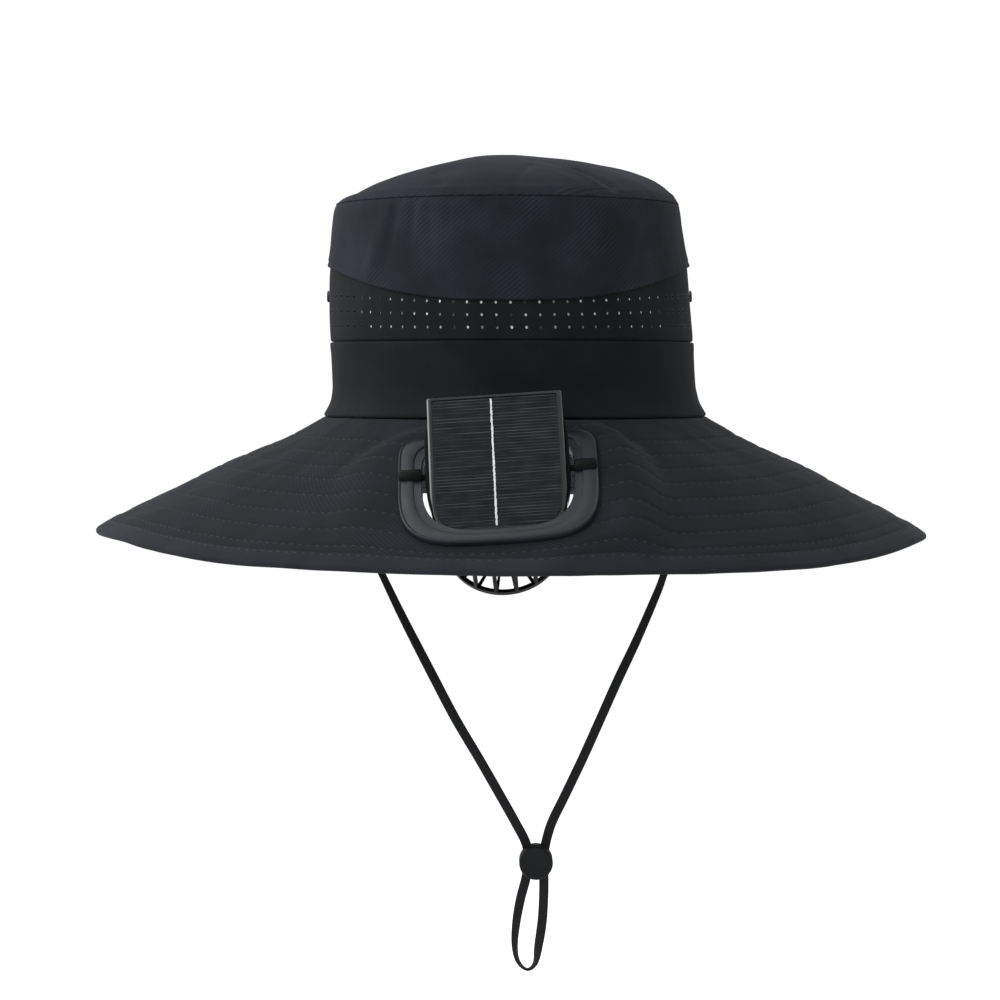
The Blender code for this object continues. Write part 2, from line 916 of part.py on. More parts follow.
def make_fan_motor(material):
    profile = (
        (0.0, motor_top),
        (motor_radius, motor_top),
        (motor_radius, motor_top - motor_length),
        (shaft_radius, motor_top - motor_length),
        (shaft_radius, motor_top - motor_length - shaft_length),
        (0.0, motor_top - motor_length - shaft_length),
    )
    return turned_solid("fan_motor", profile, motor_steps, material, drum_frame)


def make_fan_rotor(material):
    bore = shaft_radius + gap
    bore_end = motor_top - motor_length - shaft_length - gap
    end = min(rotor_top - rotor_hub_length, bore_end - gap)
    profile = (
        (0.0, bore_end),
        (bore, bore_end),
        (bore, rotor_top),
        (rotor_hub_radius, rotor_top),
        (rotor_hub_radius, end + 0.1 * rotor_hub_length),
        (0.9 * rotor_hub_radius, end),
        (0.0, end),
    )
    rotor = turned_solid("fan_rotor", profile, rotor_steps, material, drum_frame)
    tip = drum_radius - housing_wall - tip_clearance
    root = rotor_hub_radius - blade_thickness
    middle = (rotor_top + end) / 2.0
    points = []
    faces = []
    for blade in range(blade_count):
        around = Matrix.Rotation(2.0 * math.pi * blade / blade_count, 4, "Z")
        stations = ((root, 1.10, 0.72), (0.55 * (root + tip), 0.95, 0.95), (tip, 0.75, 0.92))
        start = len(points)
        for reach, turn, width in stations:
            lean = Matrix.Rotation(blade_pitch * turn, 4, "X")
            half = width * blade_width / 2.0
            thick = blade_thickness / 2.0
            for across, up in ((-half, -thick), (half, -thick), (half, thick), (-half, thick)):
                corner = lean @ Vector((0.0, across, up))
                corner.x = math.sqrt(max(reach * reach - corner.y * corner.y, 0.0))
                points.append(around @ (corner + Vector((0.0, 0.0, middle))))
        for row in range(2):
            low = start + 4 * row
            for side in range(4):
                after = (side + 1) % 4
                faces.append((low + side, low + after, low + 4 + after, low + 4 + side))
        faces.append((start, start + 1, start + 2, start + 3))
        faces.append((start + 8, start + 9, start + 10, start + 11))
    combine(rotor, add_object("blades", points, faces, material, drum_frame), "UNION")
    return rotor


panel_back = tray_front + gap
panel_front = panel_back + panel_thickness


def panel_outline(inset, level):
    return outline(
        panel_half_width - inset,
        panel_up - inset,
        panel_down - inset,
        panel_corner_up,
        panel_corner_down,
        level,
    )


def make_solar_panel(material):
    border = panel_bevel + panel_border
    layers = (
        (0.0, panel_back),
        (0.0, panel_front - panel_bevel),
        (panel_bevel, panel_front),
        (border, panel_front),
        (border, panel_front - cell_recess),
    )
    loops = [panel_outline(inset, level) for inset, level in layers]
    return capped_solid("solar_panel", loops, material, module_frame)


def make_solar_cell(material):
    inset = panel_bevel + panel_border + gap
    foot = panel_front - cell_recess + gap
    loops = [panel_outline(inset, foot), panel_outline(inset, foot + cell_thickness)]
    return capped_solid("solar_cell", loops, material, module_frame)


# Chin strap


def smooth_route(rows, place):
    """Catmull-Rom point through the rows of a table, place counting rows."""
    row = min(int(place), len(rows) - 2)
    share = place - row
    before, low = rows[max(row - 1, 0)], rows[row]
    high, after = rows[row + 1], rows[min(row + 2, len(rows) - 1)]
    result = []
    for a, b, c, d in zip(before, low, high, after):
        curve = (2.0 * a - 5.0 * b + 4.0 * c - d) * share**2 + (3.0 * b - a - 3.0 * c + d) * share**3
        result.append(0.5 * (2.0 * b + (c - a) * share + curve))
    return result


def make_chin_strap(material):
    stations = 3 * (len(strap_route) - 1) // 2
    half_width = strap_width / 2.0
    half_thick = strap_thickness / 2.0
    loops = []
    for station in range(stations + 1):
        place = station / 1.5
        x, z, turn = smooth_route(strap_route, place)
        ahead = smooth_route(strap_route, min(place + 0.05, len(strap_route) - 1))
        behind = smooth_route(strap_route, max(place - 0.05, 0.0))
        along = Vector((ahead[0] - behind[0], 0.0, ahead[1] - behind[1])).normalized()
        side = along.cross(Vector((0.0, 1.0, 0.0)))
        wide = math.cos(math.radians(turn)) * Vector((0.0, 1.0, 0.0)) + math.sin(math.radians(turn)) * side
        thick = along.cross(wide)
        centre = Vector((x, 0.0, z))
        corners = ((-1, -1), (1, -1), (1, 1), (-1, 1))
        loops.append([centre + a * half_width * wide + b * half_thick * thick for a, b in corners])
    return capped_solid("chin_strap", loops, material)


# Stopper, whose axis runs front to back, its Z pointing to the front

stopper_frame = Matrix.Translation((stopper_x, 0.0, stopper_z)) @ Matrix.Rotation(math.pi / 2.0, 4, "X")
body_front = stopper_depth / 2.0
stem_hole_floor = slot_half_depth + 2.0 * gap


def make_strap_stopper(material):
    edge = 0.0008
    profile = (
        (0.0, -body_front),
        (stopper_radius - edge, -body_front),
        (stopper_radius, edge - body_front),
        (stopper_radius, body_front - edge / 2.0),
        (stopper_radius - edge / 2.0, body_front),
        (button_stem_radius + gap, body_front),
        (button_stem_radius + gap, stem_hole_floor),
        (0.0, stem_hole_floor),
    )
    body = turned_solid("strap_stopper", profile, stopper_steps, material, stopper_frame)
    loops = []
    for level in (-slot_half_depth, slot_half_depth):
        across, along = slot_half_width, 2.0 * stopper_radius
        corners = ((-across, -along), (across, -along), (across, along), (-across, along))
        loops.append([Vector((x, y, level)) for x, y in corners])
    combine(body, capped_solid("strap_slot", loops, material, stopper_frame), "DIFFERENCE")
    return body


def make_stopper_button(material):
    edge = 0.0007
    seat = body_front + button_travel + gap
    foot = stem_hole_floor + gap + button_travel
    profile = (
        (0.0, foot),
        (button_stem_radius, foot),
        (button_stem_radius, seat),
        (button_radius, seat),
        (button_radius, seat + button_cap - edge),
        (button_radius - edge, seat + button_cap),
        (0.0, seat + button_cap),
    )
    return turned_solid("stopper_button", profile, stopper_steps, material, stopper_frame)


def main():
    cloth = make_material("hat cloth", (0.034, 0.037, 0.045), 0.85)
    dark_cloth = make_material("vent cloth", (0.016, 0.017, 0.021), 0.85)
    brim_fabric = make_material("brim cloth", (0.032, 0.034, 0.040), 0.88)
    ring_plastic = make_material("grey plastic", (0.068, 0.078, 0.098), 0.42)
    black_plastic = make_material("black plastic", (0.012, 0.013, 0.015), 0.45)
    metal = make_material("motor steel", (0.55, 0.55, 0.56), 0.35, 1.0)
    resin = make_material("panel resin", (0.030, 0.032, 0.036), 0.22)
    silicon = make_material("solar cell", (0.024, 0.026, 0.034), 0.25)
    webbing = make_material("strap webbing", (0.012, 0.013, 0.015), 0.8)

    make_crown_top(cloth)
    make_crown_side(cloth)
    make_vent_band(dark_cloth)
    make_crown_base(dark_cloth)
    make_eyelet("side_eyelet_left", -1, black_plastic)
    make_eyelet("side_eyelet_right", 1, black_plastic)
    brim = make_brim(brim_fabric)
    cut_ring_hole(brim, brim_fabric)
    make_brim_hem(brim_fabric)
    make_fan_ring(ring_plastic)
    make_ring_clamp(ring_plastic)
    make_fan_housing(black_plastic)
    make_fan_grille(black_plastic)
    make_fan_motor(metal)
    make_fan_rotor(black_plastic)
    make_solar_panel(resin)
    make_solar_cell(silicon)
    make_chin_strap(webbing)
    make_strap_stopper(black_plastic)
    make_stopper_button(black_plastic)


main()
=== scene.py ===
# Solar fan sun hat: cloth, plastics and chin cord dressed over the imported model.

import math
import bmesh
import bpy
from mathutils import Matrix, Vector, noise


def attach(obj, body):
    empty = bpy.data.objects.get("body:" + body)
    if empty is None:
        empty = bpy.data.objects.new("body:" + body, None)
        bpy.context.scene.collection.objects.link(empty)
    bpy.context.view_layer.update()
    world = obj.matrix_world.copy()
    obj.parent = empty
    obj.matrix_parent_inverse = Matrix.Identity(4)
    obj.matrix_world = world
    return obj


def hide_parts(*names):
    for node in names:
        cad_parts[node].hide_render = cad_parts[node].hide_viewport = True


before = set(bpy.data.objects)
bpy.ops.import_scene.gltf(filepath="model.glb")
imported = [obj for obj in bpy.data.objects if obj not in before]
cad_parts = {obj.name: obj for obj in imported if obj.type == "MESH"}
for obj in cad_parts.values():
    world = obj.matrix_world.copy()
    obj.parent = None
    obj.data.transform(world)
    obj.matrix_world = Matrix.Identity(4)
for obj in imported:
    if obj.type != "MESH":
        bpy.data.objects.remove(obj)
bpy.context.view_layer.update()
print("frame loaded")


# Camera at the photograph's height, looking straight at the front

camera = {
    "place": (-0.0052, -1.5, 0.020),
    "aim": (-0.0052, 0.0, -0.0399),
    "lensMm": 114.48,
}


def makeCamera():
    data = bpy.data.cameras.new("studioCamera")
    data.lens = camera["lensMm"]
    data.sensor_width = 36.0
    data.clip_end = 30.0
    made = bpy.data.objects.new("studioCamera", data)
    bpy.context.scene.collection.objects.link(made)
    made.location = camera["place"]
    look = Vector(camera["aim"]) - Vector(camera["place"])
    made.rotation_euler = look.to_track_quat("-Z", "Y").to_euler()
    bpy.context.scene.camera = made


makeCamera()


# Colours and nodes


def linear(hexColour):
    parts = [int(hexColour[start : start + 2], 16) / 255.0 for start in (1, 3, 5)]
    return tuple(p / 12.92 if p <= 0.04045 else ((p + 0.055) / 1.055) ** 2.4 for p in parts) + (1.0,)


def addNode(tree, kind, inputs=None, **settings):
    node = tree.nodes.new(kind)
    for key, value in settings.items():
        setattr(node, key, value)
    for key, value in (inputs or {}).items():
        if isinstance(value, bpy.types.NodeSocket):
            tree.links.new(value, node.inputs[key])
        else:
            node.inputs[key].default_value = value
    return node


def newMaterial(name, colour, roughness, **fixed):
    material = bpy.data.materials.new(name)
    material.use_nodes = True
    shader = material.node_tree.nodes["Principled BSDF"]
    shader.inputs["Base Color"].default_value = linear(colour)
    shader.inputs["Roughness"].default_value = roughness
    for key, value in fixed.items():
        shader.inputs[key.replace("_", " ")].default_value = value
    return material, material.node_tree, shader


def waveScale(spacing):
    return 0.31416 / spacing  # a band texture repeats every 0.314 / scale


def spots(place, across, detail):
    # inputs of a noise texture whose spots are about this many metres across
    return {"Vector": place, "Scale": 1.0 / across, "Detail": detail}


def mixColours(tree, factor, low, high):
    node = addNode(tree, "ShaderNodeMix", {0: factor}, data_type="RGBA")
    for slot, value in ((6, low), (7, high)):
        if isinstance(value, bpy.types.NodeSocket):
            tree.links.new(value, node.inputs[slot])
        else:
            node.inputs[slot].default_value = linear(value)
    return node.outputs[2]


def spread(tree, value, low, high, fromLow=0.0, fromHigh=1.0):
    inputs = {"Value": value, "From Min": fromLow, "From Max": fromHigh, "To Min": low, "To Max": high}
    return addNode(tree, "ShaderNodeMapRange", inputs).outputs["Result"]


def times(tree, first, second, operation="MULTIPLY"):
    return addNode(tree, "ShaderNodeMath", {0: first, 1: second}, operation=operation).outputs[0]


# Brushed polyester twill: matt, dark, with a soft fuzz that lifts the grazing edges and
# fine diagonal ribs. The real ribs are 0.6 mm apart, too fine to show, so they are wider.
clothLooks = {
    "crownTwill": {"low": "#101115", "high": "#1f2128", "rib": 0.0018, "turn": 52, "depth": 0.00010},
    "ventTwill": {"low": "#0b0c0e", "high": "#141518", "rib": 0.0015, "turn": 52, "depth": 0.00006},
    "brimTwill": {"low": "#101114", "high": "#1a1b20", "rib": 0.0016, "turn": 48, "depth": 0.00008},
    "hemTwill": {"low": "#17181c", "high": "#212227", "rib": 0.0011, "turn": 38, "depth": 0.00004},
}
clothSpots = {"grain": 0.0009, "blotch": 0.022, "patch": 0.034}  # metres across


def makeCloth(name):
    look = clothLooks[name]
    material, tree, shader = newMaterial(name, look["low"], 0.88, Specular_IOR_Level=0.08)
    shader.inputs["Sheen Weight"].default_value = 0.04
    shader.inputs["Sheen Roughness"].default_value = 0.45
    shader.inputs["Sheen Tint"].default_value = linear("#8f97a6")
    place = addNode(tree, "ShaderNodeUVMap", uv_map="metres").outputs[0]
    turn = (0.0, 0.0, math.radians(look["turn"]))
    turned = addNode(tree, "ShaderNodeMapping", {0: place, 2: turn}).outputs[0]
    wave = {"Vector": turned, "Scale": waveScale(look["rib"]), "Distortion": 0.6, "Detail": 1.0}
    wave["Detail Scale"] = 2.0
    ribs = addNode(tree, "ShaderNodeTexWave", wave).outputs["Fac"]
    grain = addNode(tree, "ShaderNodeTexNoise", spots(place, clothSpots["grain"], 2.0)).outputs["Fac"]
    blotch = addNode(tree, "ShaderNodeTexNoise", spots(place, clothSpots["blotch"], 4.0)).outputs["Fac"]
    broad = addNode(tree, "ShaderNodeTexNoise", spots(place, clothSpots["patch"], 2.0)).outputs["Fac"]
    # the ribs show in patches, as they do where cloth is handled
    patch = spread(tree, broad, 0.10, 0.75, 0.45, 0.62)
    shade = times(tree, spread(tree, blotch, 0.0, 0.55, 0.3, 0.7), times(tree, ribs, patch), "ADD")
    shade = times(tree, shade, spread(tree, grain, -0.12, 0.14), "ADD")
    tree.links.new(mixColours(tree, shade, look["low"], look["high"]), shader.inputs["Base Color"])
    tree.links.new(spread(tree, blotch, 0.80, 0.94), shader.inputs["Roughness"])
    height = times(tree, times(tree, ribs, patch), times(tree, grain, 0.5), "ADD")
    bump = addNode(tree, "ShaderNodeBump", {"Height": height, "Strength": 0.6, "Distance": look["depth"]})
    tree.links.new(bump.outputs[0], shader.inputs["Normal"])
    return material


# Moulded plastics and the enamel of the eyelets: even colour, a fine spark-eroded texture
# and faint sink marks
plasticLooks = {
    "greyAbs": {"low": "#0e1217", "high": "#14181e", "rough": 0.42, "grain": 0.00045, "depth": 0.00003},
    "blackAbs": {"low": "#040505", "high": "#08090a", "rough": 0.52, "grain": 0.00045, "depth": 0.00003},
    "blackEnamel": {"low": "#08090a", "high": "#0e0f11", "rough": 0.34, "grain": 0.0008, "depth": 0.00002},
    "blackPolypropylene": {
        "low": "#08090b",
        "high": "#0d1012",
        "rough": 0.55,
        "grain": 0.0006,
        "depth": 0.00004,
    },
    "panelResin": {"low": "#08090b", "high": "#0e0f12", "rough": 0.18, "grain": 0.0015, "depth": 0.00001},
}
plasticSmear = 0.012  # metres across


def makePlastic(name, **fixed):
    look = plasticLooks[name]
    material, tree, shader = newMaterial(name, look["low"], look["rough"], **fixed)
    place = addNode(tree, "ShaderNodeTexCoord").outputs["Object"]
    grain = addNode(tree, "ShaderNodeTexNoise", spots(place, look["grain"], 1.0)).outputs["Fac"]
    smear = addNode(tree, "ShaderNodeTexNoise", spots(place, plasticSmear, 3.0)).outputs["Fac"]
    shade = spread(tree, smear, 0.0, 1.0, 0.35, 0.65)
    tree.links.new(mixColours(tree, shade, look["low"], look["high"]), shader.inputs["Base Color"])
    rough = spread(tree, smear, look["rough"] - 0.05, look["rough"] + 0.09, 0.3, 0.7)
    tree.links.new(rough, shader.inputs["Roughness"])
    bump = addNode(tree, "ShaderNodeBump", {"Height": grain, "Strength": 0.5, "Distance": look["depth"]})
    tree.links.new(bump.outputs[0], shader.inputs["Normal"])
    return material


# Polyester ribbon: flat, tightly woven, its ribs running across every 0.9 mm
webbingLook = {"low": "#08090a", "high": "#1a1b1e", "rib": 0.0009, "yarn": 0.0006, "depth": 0.00012}


def makeWebbing():
    material, tree, shader = newMaterial("strapWebbing", "#0e0f11", 0.72, Specular_IOR_Level=0.15)
    shader.inputs["Sheen Weight"].default_value = 0.03
    place = addNode(tree, "ShaderNodeUVMap", uv_map="metres").outputs[0]
    wave = {"Vector": place, "Scale": waveScale(webbingLook["rib"]), "Distortion": 0.4, "Detail": 1.0}
    ribs = addNode(tree, "ShaderNodeTexWave", wave, bands_direction="Y").outputs["Fac"]
    wave = {"Vector": place, "Scale": waveScale(webbingLook["yarn"]), "Distortion": 0.8}
    yarns = addNode(tree, "ShaderNodeTexWave", wave).outputs["Fac"]
    weave = times(tree, ribs, times(tree, yarns, 0.5), "ADD")
    shade = spread(tree, weave, 0.0, 1.0, 0.2, 1.4)
    colour = mixColours(tree, shade, webbingLook["low"], webbingLook["high"])
    tree.links.new(colour, shader.inputs["Base Color"])
    raised = {"Height": weave, "Strength": 0.7, "Distance": webbingLook["depth"]}
    bump = addNode(tree, "ShaderNodeBump", raised)
    tree.links.new(bump.outputs[0], shader.inputs["Normal"])
    return material


# Zinc-plated steel motor can, drawn and lightly brushed round its side
steelLook = {"low": "#8e9092", "high": "#b8babc", "brushing": (200.0, 200.0, 3000.0)}


def makeMotorSteel():
    material, tree, shader = newMaterial("platedSteel", "#a9abad", 0.34, Metallic=1.0)
    place = addNode(tree, "ShaderNodeTexCoord").outputs["Object"]
    stretched = addNode(tree, "ShaderNodeMapping", {0: place, 3: steelLook["brushing"]}).outputs[0]
    brushed = addNode(tree, "ShaderNodeTexNoise", spots(stretched, 1.0, 2.0)).outputs["Fac"]
    colour = mixColours(tree, brushed, steelLook["low"], steelLook["high"])
    tree.links.new(colour, shader.inputs["Base Color"])
    tree.links.new(spread(tree, brushed, 0.28, 0.44), shader.inputs["Roughness"])
    return material


# Encapsulated silicon cell: dark, cloudy under a clear coat, with printed fingers 1.56 mm
# apart and one silver busbar
cellLook = {
    "fingerPitch": 0.00156,
    "fingerWidth": 0.00034,
    "fingerColour": "#393b3f",
    "streaks": (38.0, 900.0, 1.0),  # long across the cell, so that a finger fades in and out
    "cloud": 0.009,
    "low": "#060708",
    "high": "#131418",
}


def makeSilicon():
    material, tree, shader = newMaterial(
        "siliconCell", "#0b0c0f", 0.45, Specular_IOR_Level=0.08, Coat_Weight=0.06, Coat_Roughness=0.25
    )
    place = addNode(tree, "ShaderNodeUVMap", uv_map="metres").outputs[0]
    parts = addNode(tree, "ShaderNodeSeparateXYZ", {0: place})
    rows = times(tree, parts.outputs["Y"], cellLook["fingerPitch"], "DIVIDE")
    inRow = addNode(tree, "ShaderNodeMath", {0: rows}, operation="FRACT").outputs[0]
    finger = times(tree, inRow, cellLook["fingerWidth"] / cellLook["fingerPitch"], "LESS_THAN")
    clouds = spots(place, cellLook["cloud"], 5.0)
    clouds["Roughness"] = 0.6
    cloud = addNode(tree, "ShaderNodeTexNoise", clouds).outputs["Fac"]
    base = mixColours(tree, spread(tree, cloud, 0.0, 1.0, 0.32, 0.70), cellLook["low"], cellLook["high"])
    drawn = addNode(tree, "ShaderNodeMapping", {0: place, 3: cellLook["streaks"]}).outputs[0]
    streak = addNode(tree, "ShaderNodeTexNoise", spots(drawn, 1.0, 2.0)).outputs["Fac"]
    strength = times(tree, finger, spread(tree, streak, 0.0, 0.9, 0.38, 0.66))
    tree.links.new(mixColours(tree, strength, base, cellLook["fingerColour"]), shader.inputs["Base Color"])
    tree.links.new(spread(tree, cloud, 0.32, 0.52), shader.inputs["Roughness"])
    return material


# Screen-printed silver paste: pale, dull and slightly grainy
silverLook = {"low": "#85888c", "high": "#cfd1d4", "grain": 0.0012}


def makeSilver():
    material, tree, shader = newMaterial("silverPaste", "#d2d4d6", 0.45, Metallic=0.35)
    place = addNode(tree, "ShaderNodeTexCoord").outputs["Object"]
    grain = addNode(tree, "ShaderNodeTexNoise", spots(place, silverLook["grain"], 2.0)).outputs["Fac"]
    colour = mixColours(tree, grain, silverLook["low"], silverLook["high"])
    tree.links.new(colour, shader.inputs["Base Color"])
    tree.links.new(spread(tree, grain, 0.38, 0.60), shader.inputs["Roughness"])
    return material


# Spun polyester, twisted: sewing thread, a little lighter and shinier than the cloth, and
# the darker tape inside the seam
threadLooks = {
    "brimThread": {"low": "#202226", "high": "#34363c"},
    "darkThread": {"low": "#0e0f11", "high": "#1a1c1f"},
    "tapeCloth": {"low": "#0c0d0f", "high": "#141519"},
}
threadTwist = 0.0007  # metres across


def makeThread(name):
    low, high = threadLooks[name]["low"], threadLooks[name]["high"]
    material, tree, shader = newMaterial(name, low, 0.62, Specular_IOR_Level=0.1)
    place = addNode(tree, "ShaderNodeTexCoord").outputs["Object"]
    twist = addNode(tree, "ShaderNodeTexNoise", spots(place, threadTwist, 1.0)).outputs["Fac"]
    tree.links.new(mixColours(tree, twist, low, high), shader.inputs["Base Color"])
    tree.links.new(spread(tree, twist, 0.5, 0.75), shader.inputs["Roughness"])
    return material


# Pale discs set a little behind the face of the vent cloth, in the punched holes: painted light,
# standing for the light seen through the holes, brighter in some than in others.
holeLightLook = {"low": "#08090a", "high": "#cfd1d6", "patch": 0.006}


def makeHoleLight():
    material, tree, shader = newMaterial("paintedHoleLight", "#9a9da3", 0.6)
    place = addNode(tree, "ShaderNodeTexCoord").outputs["Object"]
    uneven = addNode(tree, "ShaderNodeTexNoise", spots(place, holeLightLook["patch"], 1.0)).outputs["Fac"]
    shade = spread(tree, uneven, 0.0, 1.0, 0.40, 0.66)
    tree.links.new(mixColours(tree, shade, holeLightLook["low"], holeLightLook["high"]), shader.inputs["Base Color"])
    tree.links.new(spread(tree, uneven, 0.5, 0.7), shader.inputs["Roughness"])
    return material


# Cut and heat-sealed edge of each punched hole: darker than the cloth and slightly glazed
edgeLook = {"colour": "#08090a", "grain": 0.0006}


def makeSealedEdge():
    material, tree, shader = newMaterial("sealedEdge", edgeLook["colour"], 0.55, Specular_IOR_Level=0.1)
    place = addNode(tree, "ShaderNodeTexCoord").outputs["Object"]
    grain = addNode(tree, "ShaderNodeTexNoise", spots(place, edgeLook["grain"], 2.0)).outputs["Fac"]
    tree.links.new(spread(tree, grain, 0.45, 0.68), shader.inputs["Roughness"])
    return material


crownTwill = makeCloth("crownTwill")
ventTwill = makeCloth("ventTwill")
brimTwill = makeCloth("brimTwill")
hemTwill = makeCloth("hemTwill")
greyAbs = makePlastic("greyAbs", Specular_IOR_Level=0.19)
blackAbs = makePlastic("blackAbs", Specular_IOR_Level=0.06)
blackEnamel = makePlastic("blackEnamel", Specular_IOR_Level=0.3)
blackPolypropylene = makePlastic("blackPolypropylene", Specular_IOR_Level=0.14)
panelResin = makePlastic("panelResin", Specular_IOR_Level=0.1, Coat_Weight=0.6, Coat_Roughness=0.05)
strapWebbing = makeWebbing()
platedSteel = makeMotorSteel()
siliconCell = makeSilicon()
silverPaste = makeSilver()
brimThread = makeThread("brimThread")
darkThread = makeThread("darkThread")
tapeCloth = makeThread("tapeCloth")
paintedHoleLight = makeHoleLight()
sealedEdge = makeSealedEdge()
print("materials made")


# Mesh helpers


def makePiece(name, points, faces, materials, place=None, uvs=None, crease=35.0, faceSlots=None):
    mesh = bpy.data.meshes.new(name)
    mesh.from_pydata([tuple(point) for point in points], [], faces)
    if uvs is not None:
        layer = mesh.uv_layers.new(name="metres")
        corner = 0
        for face in uvs:
            for pair in face:
                layer.data[corner].uv = pair
                corner += 1
    if faceSlots is not None:
        for polygon, slot in zip(mesh.polygons, faceSlots):
            polygon.material_index = slot
    shaped = bmesh.new()
    shaped.from_mesh(mesh)
    bmesh.ops.recalc_face_normals(shaped, faces=shaped.faces)
    shaped.to_mesh(mesh)
    shaped.free()
    mesh.shade_smooth()
    mesh.set_sharp_from_angle(angle=math.radians(crease))
    for material in materials if isinstance(materials, (list, tuple)) else [materials]:
        mesh.materials.append(material)
    made = bpy.data.objects.new(name, mesh)
    bpy.context.scene.collection.objects.link(made)
    if place is not None:
        made.matrix_world = place
    return made


def bevel(piece, width, segments=3, angle=35.0):
    step = piece.modifiers.new("softEdges", "BEVEL")
    step.width = width
    step.segments = segments
    step.limit_method = "ANGLE"
    step.angle_limit = math.radians(angle)
    step.harden_normals = False
    return piece


def applyAll(piece):
    graph = bpy.context.evaluated_depsgraph_get()
    baked = bpy.data.meshes.new_from_object(piece.evaluated_get(graph))
    piece.modifiers.clear()
    old = piece.data
    piece.data = baked
    bpy.data.meshes.remove(old)
    return piece


def join(piece, others, operation):
    # faces that come from another body keep its material
    for other in others:
        step = piece.modifiers.new(other.name, "BOOLEAN")
        step.operation = operation
        step.material_mode = "TRANSFER"
        step.object = other
        step.solver = "EXACT"
    applyAll(piece)
    for other in others:
        mesh = other.data
        bpy.data.objects.remove(other)
        bpy.data.meshes.remove(mesh)
    piece.data.shade_smooth()
    piece.data.set_sharp_from_angle(angle=math.radians(35))
    return piece


def loopBand(name, loops, material, place=None, crease=35.0):
    count = len(loops[0])
    points = [point for loop in loops for point in loop]
    faces = []
    for row in range(len(loops)):
        after = (row + 1) % len(loops)
        for column in range(count):
            beside = (column + 1) % count
            near, far = row * count, after * count
            faces.append((near + column, near + beside, far + beside, far + column))
    return makePiece(name, points, faces, material, place, crease=crease)


def cappedBody(name, loops, material, place=None, crease=35.0):
    points = []
    starts = []
    for loop in loops:
        starts.append(len(points))
        points.extend(loop)
    faces = []
    for row in range(len(loops) - 1):
        low, high = loops[row], loops[row + 1]
        count = max(len(low), len(high))
        for column in range(count):
            beside = (column + 1) % count
            face = [starts[row] + column % len(low), starts[row] + beside % len(low)]
            face += [starts[row + 1] + beside % len(high), starts[row + 1] + column % len(high)]
            faces.append(tuple(dict.fromkeys(face)))
    if len(loops[0]) > 1:
        faces.append(tuple(range(starts[0], starts[0] + len(loops[0])))[::-1])
    if len(loops[-1]) > 1:
        faces.append(tuple(range(starts[-1], starts[-1] + len(loops[-1]))))
    return makePiece(name, points, faces, material, place, crease=crease)


def circle(radius, level, count):
    turn = 2.0 * math.pi / count
    return [Vector((radius * math.cos(turn * k), radius * math.sin(turn * k), level)) for k in range(count)]


def turned(name, profile, count, material, place=None, crease=35.0):
    loops = [[Vector((0.0, 0.0, z))] if r == 0.0 else circle(r, z, count) for r, z in profile]
    return cappedBody(name, loops, material, place, crease)


def smoothStep(value):
    value = min(1.0, max(0.0, value))
    return value * value * (3.0 - 2.0 * value)


def hump(distance, width):
    return math.exp(-((distance / width) ** 2))


def tableSlope(rows, index, column):
    if index in (0, len(rows) - 1):
        near = 1 if index == 0 else index - 1
        return (rows[near][column] - rows[index][column]) / (rows[near][0] - rows[index][0])
    before = (rows[index][column] - rows[index - 1][column]) / (rows[index][0] - rows[index - 1][0])
    after = (rows[index + 1][column] - rows[index][column]) / (rows[index + 1][0] - rows[index][0])
    return 0.0 if before * after <= 0.0 else 2.0 * before * after / (before + after)


def tableValue(rows, place, column):
    # smooth curve through a table, with no overshoot between its rows
    if place <= rows[0][0]:
        return rows[0][column]
    for index in range(len(rows) - 1):
        low, high = rows[index], rows[index + 1]
        if place <= high[0]:
            width = high[0] - low[0]
            t = (place - low[0]) / width
            first = width * tableSlope(rows, index, column)
            last = width * tableSlope(rows, index + 1, column)
            bend = (2 * t**3 - 3 * t**2 + 1) * low[column] + (t**3 - 2 * t**2 + t) * first
            return bend + (3 * t**2 - 2 * t**3) * high[column] + (t**3 - t**2) * last
    return rows[-1][column]


def gridNormals(grid, closed=True):
    rows, columns = len(grid), len(grid[0])
    normals = []
    for r in range(rows):
        line = []
        for c in range(columns):
            nextC = (c + 1) % columns if closed else min(c + 1, columns - 1)
            lastC = (c - 1) % columns if closed else max(c - 1, 0)
            across = grid[r][nextC] - grid[r][lastC]
            along = grid[min(r + 1, rows - 1)][c] - grid[max(r - 1, 0)][c]
            line.append(across.cross(along).normalized())
        normals.append(line)
    return normals


